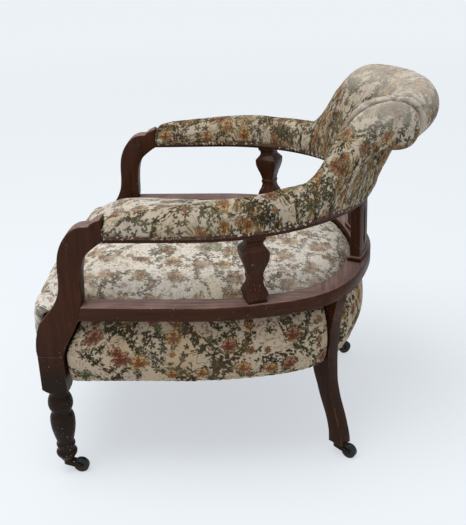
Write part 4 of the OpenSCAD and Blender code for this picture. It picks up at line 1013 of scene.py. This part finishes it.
for mirrored in (grid_angle, 180 - grid_angle):
    for path, width, deep in WING_FOLDS:
        depth += fold(mirrored, grid_share, path, width, deep)
    depth += lip(mirrored, grid_share)
    from_knob = ((mirrored - KNOB[0]) / KNOB_RUN[0]) ** 2 + ((grid_share - KNOB[1]) / KNOB_RUN[1]) ** 2
    depth -= KNOB_SWELL * np.exp(-from_knob)
full_depth = np.pad(depth, ((0, 0), (0, around - SKIN_COUNT)))
press(back, full_depth)
# Painted shade for the folds: the deeper a point is pressed in, the darker its cloth is drawn.
dirt_and_fold_shade = FOLD_SHADE_MOST * np.clip(full_depth / FOLD_SHADE_DEPTH, 0, 1)
write_values(back.data, "dirt_and_fold_shade", "FLOAT", np.append(dirt_and_fold_shade, [0, 0]))
finished_pad(back, ["back_pad"])
print("deepest pleat:", round(float(depth.max()) * 1000, 1), "mm")

# %% [markdown]
# ## The arm pads
#
# Each arm pad is a D-shaped roll on the arm rail. Its front end, behind the post, is a gathered
# bulb: the cover is drawn in round a small disc, which throws a ring of short folds. The pad on
# the sitter's left has sunk at its front from use.

# %% Arm pads
ARM_FRONT = -0.1427
ARM_STRAIGHT_SHARE = 0.4
ARM_COUNT_END, ARM_COUNT_SIDE, ARM_COUNT_CURVE = 16, 20, 40
END_RUN, CORNER_RUN, CORNER_KEEP = 0.045, 0.018, 0.62
GATHER_RUN, GATHER_COUNT, GATHER_DEEP = 0.034, 13, 1.8 * MM
LEFT_SUNK, RIGHT_ARM_CLOTH = 8 * MM, 0.31


def arm_top(t, sunk):
    return blend_of(ARM_PAD_FRONT - sunk, ARM_PAD_REAR, ease(1.25 * t))


def arm_ring(distance, t, sunk, angle=None, y=None):
    """distance is how far behind the front end, t runs from 0 at the front to 1 at the back. The
    ring stands at y beside the straight rail, or at an angle of the rear curve."""
    rounding, corner = [math.sqrt(1 - (1 - min(distance / run, 1.0)) ** 2)
                        for run in (END_RUN, CORNER_RUN)]
    middle = np.array([ARM_PAD_OFF, arm_top(t, sunk) - ARM_PAD_R])
    section = pad_section(*middle, ARM_PAD_R, 0.0, 0.80 + 0.20 * rounding, 0.10 + 0.90 * rounding)
    skin = section[:SKIN_COUNT]
    skin[:, 0] = ARM_PAD_OFF + (skin[:, 0] - ARM_PAD_OFF) * (CORNER_KEEP + (1 - CORNER_KEEP) * corner)
    fade = max(0.0, 1 - distance / GATHER_RUN)
    if fade:
        spoke = skin - middle
        swing = np.arctan2(spoke[:, 1], spoke[:, 0])
        ripple = GATHER_DEEP * fade * np.sin(GATHER_COUNT * swing + 0.8 * np.sin(3 * swing))
        skin += spoke / np.linalg.norm(spoke, axis=1, keepdims=True) * ripple[:, None]
    if angle is None:
        plan = np.column_stack([HALF_WIDTH + section[:, 0], np.full(len(section), y)])
        return place_ring(plan, section[:, 1])
    return ring_at_angle(section, angle)


def arm_rings(sunk):
    ends = END_RUN * (1 - np.cos(np.linspace(0, np.pi / 2, ARM_COUNT_END)))
    places = np.concatenate([ARM_FRONT + ends, np.linspace(ARM_FRONT + END_RUN, 0, ARM_COUNT_SIDE)[1:]])
    rings = [arm_ring(y - ARM_FRONT, ARM_STRAIGHT_SHARE * (y - ARM_FRONT) / -ARM_FRONT, sunk, y=y)
             for y in places]
    angles = np.linspace(0, BACK_FROM - 0.1, ARM_COUNT_CURVE)
    run = around_length(quarter_point(angles, np.full(len(angles), 0.02)))
    rings += [arm_ring(1.0, blend_of(ARM_STRAIGHT_SHARE, 1, a / BACK_FROM), sunk, angle=a)
              for a in angles[1:]]
    marks = np.append(places, run[1:]) + 0.17
    return laid(rings, marks, pad_section(ARM_PAD_OFF, 0.53, ARM_PAD_R, 0.0))


for side, sign, sunk in (("left", 1, LEFT_SUNK), ("right", -1, 0.0)):
    rings, cloth = arm_rings(sunk)
    rings[..., 0] *= sign
    cloth[..., 1] += RIGHT_ARM_CLOTH * (sign < 0)
    arm = closed_skin(f"arm_cover_{side}", rings, cloth, tapestry_pads)
    stuff(arm, held_but(*rings.shape[:2], 2, SKIN_COUNT - 1), 3.0, 3 * MM, 0.01)
    finished_pad(arm, [f"arm_pad_{side}"])
    print(arm.name, len(arm.data.vertices), "points")

# %% [markdown]
# ## The bands round the seat
#
# Under the seat rail the sprung seat is covered by deep bands that swell between the rail and the
# frame's lower edge. The side bands run from the arm post to the rear leg, the back band goes
# between the rear legs. Each has one section, which is drawn in where the band ends.

# %% Band shapes
BAND_LOW, BAND_TOP = 0.210, 0.3445
BAND_SHARES = np.array([[0, 0.55], [0.02, 0.66], [0.10, 0.80], [0.24, 0.96], [0.42, 1.0], [0.60, 0.96],
                        [0.76, 0.82], [0.88, 0.60], [0.96, 0.34], [1.0, 0.12]])
SIDE_SWELL, POST_SWELL = 0.029, 0.009
BACK_OFF_SIDE, BACK_OFF_CURVE = -0.039, -0.0455
BLOCK_TOP, BLOCK_EDGE = 0.270, -0.240
POST_HEIGHTS = np.array([0.08, 0.176, 0.283, 0.386, 0.456]) * 0.272 + BLOCK_TOP
POST_EDGES = np.array([0.385, 0.49, 0.59, 0.64, 0.655]) * 0.145 - SIDE_RUN
REAR_LEG_ANGLE, REAR_LEG_WIDTH, BAND_GAP = 51.0, 0.026, 0.002
FACE_COUNT = 30


def band_section(back_off, swell):
    t = np.linspace(0, 1, FACE_COUNT)
    height = 0.5 - 0.5 * np.cos(np.pi * t)
    out = np.interp(height, BAND_SHARES[:, 0], BAND_SHARES[:, 1])
    face = np.column_stack([back_off + out * swell, blend_of(BAND_LOW, BAND_TOP, height)])
    spine = np.column_stack([np.full(8, back_off), np.linspace(BAND_TOP, BAND_LOW, 8)])
    return np.concatenate([face, spine])


REAR_SECTION = band_section(BACK_OFF_CURVE, SIDE_SWELL)


def post_edge(heights):
    edge = np.interp(heights, np.append(BLOCK_TOP, POST_HEIGHTS), np.append(BLOCK_EDGE, POST_EDGES))
    return np.maximum(edge, BLOCK_EDGE)


def leg_side_angle(off, side):
    """Where the curve at off meets the rear leg's side face: side is -1 before the leg, 1 behind it."""
    near = np.linspace(REAR_LEG_ANGLE - 16, REAR_LEG_ANGLE + 16, 65)
    leg = math.radians(REAR_LEG_ANGLE)
    out = np.array([math.cos(leg) / HALF_WIDTH, math.sin(leg) / REAR_DEPTH])
    out /= np.linalg.norm(out)
    middle = quarter_point(REAR_LEG_ANGLE, 0.0, QUARTER_FULL)
    along_leg = np.array([-out[1], out[0]])
    angles = []
    for o in off:
        reach = (quarter_point(near, np.full(len(near), o), QUARTER_FULL) - middle) @ along_leg
        angles.append(np.interp(side * (REAR_LEG_WIDTH / 2 + BAND_GAP), reach, near))
    return np.array(angles)


def side_band_rings():
    rings, marks = [], []
    for t in np.linspace(0, 1, 40):
        tuck = 0.80 + 0.20 * ease(t / 0.10)
        section = band_section(BACK_OFF_SIDE, (SIDE_SWELL - 0.0065 + POST_SWELL * (1 - t) ** 2) * tuck)
        y = blend_of(post_edge(section[:, 1]) + BAND_GAP, 0.0, t)
        rings.append(place_ring(np.column_stack([HALF_WIDTH + section[:, 0], y]), section[:, 1]))
        marks.append(blend_of(BLOCK_EDGE, 0, t) + 0.9)
    ends = leg_side_angle(REAR_SECTION[:, 0], -1)
    for t in np.linspace(0, 1, 46)[1:]:
        section = band_section(BACK_OFF_CURVE, SIDE_SWELL * (1 - 0.22 * ease((t - 0.9) / 0.10)))
        rings.append(ring_at_angle(section, t * ends, QUARTER_FULL))
        marks.append(t * 0.255 + 0.9)
    return laid(rings, marks, REAR_SECTION)


def back_band_rings():
    first = leg_side_angle(REAR_SECTION[:, 0], 1)
    rings, marks = [], []
    for t in np.linspace(0, 1, 84):
        section = band_section(BACK_OFF_CURVE, SIDE_SWELL * (1 - 0.25 * ease(1 - min(t, 1 - t) / 0.05)))
        rings.append(ring_at_angle(section, blend_of(first, 180 - first, t), QUARTER_FULL))
        marks.append(t * 0.40 + 1.6)
    return laid(rings, marks, section)


print("round a band:", around_length(REAR_SECTION)[-1].round(3), "m")

# %% [markdown]
# ## Stuffing the bands
#
# The cloth is nailed under the frame, where small puckers show, and is bunched into upright folds
# beside the rear legs. Both are waves along the cloth, pressed in after the stuffing.

# %% Bands
PUCKER_DEEP, PUCKER_PITCH, BUNCH_DEEP, BUNCH_PITCH = 0.9 * MM, 0.017, 3.6 * MM, 0.0125


def band_piece(name, node, rings, cloth, bunched=()):
    """bunched lists (cloth distance, run): places where the cloth stands in upright folds."""
    piece = closed_skin(name, rings, cloth, tapestry_bands)
    stuff(piece, held_but(*rings.shape[:2], 1, FACE_COUNT - 1), 2.2, 3 * MM, 0.012)
    u, v = cloth[..., 0], cloth[..., 1]
    high = v / around_length(REAR_SECTION)[FACE_COUNT - 1]
    on_face = np.arange(rings.shape[1]) < FACE_COUNT
    low_edge = np.clip(1 - high / 0.22, 0, 1) * on_face
    depth = PUCKER_DEEP * low_edge * np.sin(u * math.tau / PUCKER_PITCH + 1.7 * np.sin(u * 41))
    for middle, run in bunched:
        near = np.clip(1 - np.abs(u - middle) / run, 0, 1) ** 1.5 * on_face
        bend = u + 0.010 * np.sin(3.0 * high)
        upright = np.sin(np.pi * np.clip(high, 0, 1)) ** 0.5
        depth += BUNCH_DEEP * near * np.sin(bend * math.tau / BUNCH_PITCH) * upright
    press(piece, depth)
    finished_pad(piece, [node])


for side, sign in (("left", 1), ("right", -1)):
    rings, cloth = side_band_rings()
    rings[..., 0] *= sign
    cloth[..., 0] += 0.23 * (sign < 0)
    band_piece(f"side_band_{side}", f"seat_border_{side}", rings, cloth)
rings, cloth = back_band_rings()
band_piece("back_band", "seat_border_back", rings, cloth, ((1.6, 0.055), (2.0, 0.055)))

# %% [markdown]
# ## The seat
#
# The seat cover is one cloth: it is domed over the springs, tucked down inside the rail at the
# sides and back, and at the front it rolls over and runs down to the frame's lower edge. It
# starts as two closed shapes, the dome and the front.

# %% Seat shapes
SEAT_CROWN, SEAT_LOW = 0.414, 0.3448
SEAT_IN = -0.0383
SEAT_BOW = 0.031
FRONT_SHARES = np.array([[0, 1], [0.12, 0.99], [0.35, 0.93], [0.6, 0.79], [0.8, 0.60], [0.93, 0.36],
                         [1, 0.10]])
CROWN_SHARES = np.array([[0, 1.0], [0.16, 1.0], [0.42, 0.92], [0.66, 0.70], [0.84, 0.42], [0.94, 0.16],
                         [1.0, 0.0]])
SEAT_MIDDLE = np.array([0.0, -0.020])
CORNER_IN, CORNER_DROP = 0.009, 0.008
FRONT_BAND = np.array([[0, 0.80], [0.02, 0.84], [0.10, 0.90], [0.24, 0.96], [0.42, 1.0], [0.60, 1.0],
                       [0.76, 0.99], [0.88, 0.97], [0.96, 0.95], [1.0, 0.93]])
FRONT_BACK, FRONT_TOP = -0.2803, 0.360
BETWEEN_BLOCKS, BETWEEN_POSTS = 0.2497, 0.2675


def seat_outline(back):
    f = np.linspace(-1, 1, 49)
    corner = CORNER_IN * ease((np.abs(f) - 0.9) / 0.1)
    half = HALF_WIDTH + SEAT_IN
    bow = SEAT_BOW * np.interp(np.abs(f), FRONT_SHARES[:, 0], FRONT_SHARES[:, 1])
    front = np.column_stack([f * half, -SIDE_RUN - bow + back + corner])
    side = np.linspace(0, -SIDE_RUN + 0.02, 26)[1:-1]
    angles = np.linspace(0, 180, 91)
    return np.concatenate([quarter_point(angles, np.full(91, SEAT_IN), QUARTER_FULL),
                           np.column_stack([np.full(24, -half), side]), front,
                           np.column_stack([np.full(24, half), side[::-1]])])


def rim_height(plan):
    near_front = ease((-plan[:, 1] / SIDE_RUN - 0.7) / 0.3)
    return SEAT_RAIL_TOP - 0.010 - CORNER_DROP * (plan[:, 0] / (HALF_WIDTH + SEAT_IN)) ** 2 * near_front


def seat_dome_rings():
    rim, low = seat_outline(0.021), seat_outline(0.009)
    high = rim_height(rim)
    rings = [place_ring(seat_outline(back), np.full(len(rim), SEAT_LOW + rise))
             for back, rise in ((0.002, 0.0), (0.0045, 0.0028), (0.009, 0.006))]
    rings += [place_ring(blend_of(low, rim, 0.5), blend_of(SEAT_LOW + 0.006, high, 0.58)),
              place_ring(rim, high)]
    to_front = np.clip(-(rim[:, 1] - SEAT_MIDDLE[1]) / SIDE_RUN, 0, 1)
    for share in np.linspace(1, 0.05, 26)[1:]:
        rise = np.interp(share, CROWN_SHARES[:, 0], CROWN_SHARES[:, 1])
        rise = blend_of(rise, 1 - (1 - rise) ** 1.5, to_front)
        rings.append(place_ring(blend_of(SEAT_MIDDLE, rim, share), blend_of(high, SEAT_CROWN, rise)))
    return np.array(rings)


def front_half(height):
    """Half the front's width: between the legs' blocks low down, from post to post above them."""
    return np.interp(height, [BLOCK_TOP + 0.0005, BLOCK_TOP + 0.003], [BETWEEN_BLOCKS, BETWEEN_POSTS])


def seat_front_rings():
    rise, fall = np.linspace(BAND_LOW, FRONT_TOP, 34), np.linspace(FRONT_TOP, BAND_LOW, 20)
    high = (np.minimum(rise, BAND_TOP) - BAND_LOW) / (BAND_TOP - BAND_LOW)
    share = np.interp(high, FRONT_BAND[:, 0], FRONT_BAND[:, 1])
    rings = []
    for f in np.linspace(-1, 1, 61):
        bow = SEAT_BOW * np.interp(abs(f), FRONT_SHARES[:, 0], FRONT_SHARES[:, 1])
        face = np.column_stack([f * front_half(rise), FRONT_BACK - (FRONT_BACK + SIDE_RUN + bow) * share])
        spine = np.column_stack([f * front_half(fall), np.full(20, FRONT_BACK)])
        rings.append(place_ring(np.concatenate([face, spine]), np.append(rise, fall)))
    return np.array(rings)


print("seat outline:", len(seat_outline(0.0)), "points")

# %% [markdown]
# ## One skin for the seat
#
# A voxel remesh joins dome and front into one even skin, as the cloth is one piece, and smoothing
# takes its steps away.

# %% Join the seat
seat, front = [closed_skin(name, rings, np.zeros_like(rings), tapestry_seat)
               for name, rings in (("seat_cover", seat_dome_rings()), ("seat_front", seat_front_rings()))]
with edited(seat.data) as work:
    work.from_mesh(front.data)
bpy.data.objects.remove(front)
remesh = seat.modifiers.new("one_skin", "REMESH")
remesh.mode, remesh.voxel_size, remesh.use_smooth_shade = "VOXEL", 5.5 * MM, True
smooth = seat.modifiers.new("relax", "SMOOTH")
smooth.factor, smooth.iterations = 0.5, 6
skin = bpy.data.meshes.new_from_object(seat.evaluated_get(bpy.context.evaluated_depsgraph_get()))
seat.modifiers.clear()
seat.data = skin
print("seat skin:", len(skin.vertices), "points")

# %% [markdown]
# ## Stuff the seat and measure its cloth
#
# The remesh forgets the cloth's own measurements, so they are worked out from where each point
# lies: the cloth is laid from the middle of the crown outward, and over the front it runs down.

# %% Stuff the seat
at = read(skin)
low, behind = at[:, 2] < SEAT_LOW, at[:, 1] > -0.349
nailed = (at[:, 2] < BAND_LOW + 0.006) | ((at[:, 2] < SEAT_LOW + 0.012) & (at[:, 1] > -0.33))
stuff(seat, np.where(nailed | (behind & low), 1.0, 0.0), 2.6, 5 * MM, 0.012)
at = read(skin)
skin.materials.clear()
skin.materials.append(tapestry_seat)
drop = np.maximum(SEAT_CROWN - at[:, 2], 0)
over_front = ease((-0.30 - at[:, 1]) / 0.03)
out = np.column_stack([at[:, 0] * (1 - over_front), at[:, 1]])
out /= np.maximum(np.linalg.norm(out, axis=1, keepdims=True), 0.02)
marks = np.column_stack([at[:, :2] + out * drop[:, None] + (0.55, 0.77), np.zeros(len(at))])
write_values(skin, "cloth", "FLOAT_VECTOR", marks)
skin.polygons.foreach_set("use_smooth", [True] * len(skin.polygons))
finished_pad(seat, ["seat_cushion", "seat_border_front"])
print("seat cover box:", at.min(0).round(3), at.max(0).round(3))

# %% [markdown]
# ## Gimp along the lower edges of the pads
#
# The nailed edge of the pads is hidden by gimp, a narrow woven braid, now dark and frayed. It is
# a flat ribbon whose two edges are scalloped and whose face carries the ridges of its cords, so
# it is built as one long closed skin that follows the arm rail all the way round.

# %% Gimp
GIMP_DARK, GIMP_BROWN, GIMP_FRAYED = (0.050, 0.020, 0.012), (0.085, 0.045, 0.024), (0.50, 0.42, 0.30)
GIMP_STEP, GIMP_HALF, GIMP_THICK = 1.4 * MM, 3.6 * MM, 0.9 * MM
SCALLOP_RUN, CORD_RUN, GIMP_OUT, GIMP_UP = 6.8 * MM, 3.4 * MM, 1.4 * MM, 1.2 * MM


def gimp_finish():
    f = Finish("worn_gimp")
    place = f.add("TexCoord", "Object")
    fray = f.noise(place, 190.0, 5.0)
    dirt_and_fold_shade = f.noise(place, 45.0, 3.0)
    worn = f.soft(f.noise(place, 24.0, 3.0), 0.42, 0.50, (0.10, 1.0))
    colour = f.mix(f.soft(dirt_and_fold_shade, 0.4, 0.6), GIMP_DARK, GIMP_BROWN)
    colour = f.mix(f.times(worn, f.soft(fray, 0.53, 0.60)), colour, GIMP_FRAYED)
    return f.surface(colour, 0.9, fray, 0.0006, 0.6)


gimp = gimp_finish()


def gimp_path(off):
    """Plan points and outward directions from the left arm's front, round the back, to the right arm's."""
    straight = np.arange(ARM_FRONT + 0.004, 0, GIMP_STEP)
    angles = np.linspace(0, 180, 2400)
    curve = quarter_point(angles, np.full(len(angles), off))
    length = around_length(curve)
    even = np.interp(np.arange(0, length[-1], GIMP_STEP), length, angles)
    curve = quarter_point(even, np.full(len(even), off))
    left = np.column_stack([np.full(len(straight), HALF_WIDTH + off), straight])
    right = np.column_stack([np.full(len(straight), -HALF_WIDTH - off), straight[::-1]])
    path = np.concatenate([left, curve, right])
    run = np.gradient(path, axis=0)
    run /= np.linalg.norm(run, axis=1, keepdims=True)
    return path, np.column_stack([run[:, 1], -run[:, 0]])


def gimp_ribbon(name, off, facing):
    """facing is 1 where the ribbon's cords look outward and -1 where they look inward."""
    path, out = gimp_path(off + facing * GIMP_OUT)
    wave = np.arange(len(path))[:, None] * GIMP_STEP * math.tau
    turn = np.linspace(0, math.tau, 10, endpoint=False) + math.tau / 20
    cords = 1 + 0.45 * np.cos(wave / CORD_RUN + 2.5 * np.sin(turn))
    side = facing * GIMP_THICK * np.cos(turn) * np.where(np.cos(turn) > 0, cords, 1)
    rise = GIMP_HALF * (1 + 0.16 * np.cos(wave / SCALLOP_RUN)) * np.sin(turn)
    rings = np.dstack([path[:, None] + out[:, None] * side[..., None], PAD_FOOT + GIMP_UP + rise])
    rings[..., 1] += PLAN_SHIFT
    ribbon = closed_skin(name, rings, np.zeros_like(rings), gimp)
    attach(ribbon, "root")


gimp_ribbon("gimp_outside", FOOT_OUT, 1)
gimp_ribbon("gimp_inside", FOOT_IN, -1)
print("gimp length:", round(len(gimp_path(0.004)[0]) * GIMP_STEP, 2), "m each way round")

# %% [markdown]
# ## Dust cover
#
# A thin black cotton cloth is tacked under the seat frame to catch the dust. It is stretched, and
# with age it hangs a few millimetres slack in the middle.

# %% Dust cover
DUST_HEIGHT, DUST_SAG = 0.2097, 0.006
DUST_OFF, DUST_CORNER, DUST_FRONT = -0.0495, -0.2397, -0.277


def dust_outline():
    curve = quarter_point(np.linspace(0, 180, 61), np.full(61, DUST_OFF), QUARTER_FULL)
    left = [[-HALF_WIDTH - DUST_OFF, y] for y in np.linspace(0, DUST_CORNER, 14)[1:]]
    corner = [[-BETWEEN_BLOCKS, DUST_CORNER], [-BETWEEN_BLOCKS, DUST_FRONT]]
    middle = [[x, DUST_FRONT] for x in np.linspace(-BETWEEN_BLOCKS, BETWEEN_BLOCKS, 26)[1:-1]]
    return np.array([*curve, *left, *corner, *middle, *([-x, y] for x, y in corner[::-1] + left[::-1])])


rim = dust_outline()
shares = np.linspace(1, 0.06, 22)
cover_rings = [place_ring(rim * share, np.full(len(rim), DUST_HEIGHT - DUST_SAG * (1 - share ** 2)))
               for share in shares]
cover_points = np.concatenate([*cover_rings, [[0, PLAN_SHIFT, DUST_HEIGHT - DUST_SAG]]])
steps = [(i, (i + 1) % len(rim)) for i in range(len(rim))]
last = (len(shares) - 1) * len(rim)
faces = [(r + i, r + len(rim) + i, r + len(rim) + j, r + j)
         for r in range(0, last, len(rim)) for i, j in steps]
faces += [(last + i, len(cover_points) - 1, last + j) for i, j in steps]
mesh = bpy.data.meshes.new("dust_cloth")
mesh.from_pydata(cover_points.tolist(), [], faces)
mesh.polygons.foreach_set("use_smooth", [True] * len(mesh.polygons))
mesh.materials.append(black_cotton)
dust_cloth = linked("dust_cloth", mesh)
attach(dust_cloth, "root")
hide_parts("dust_cover")
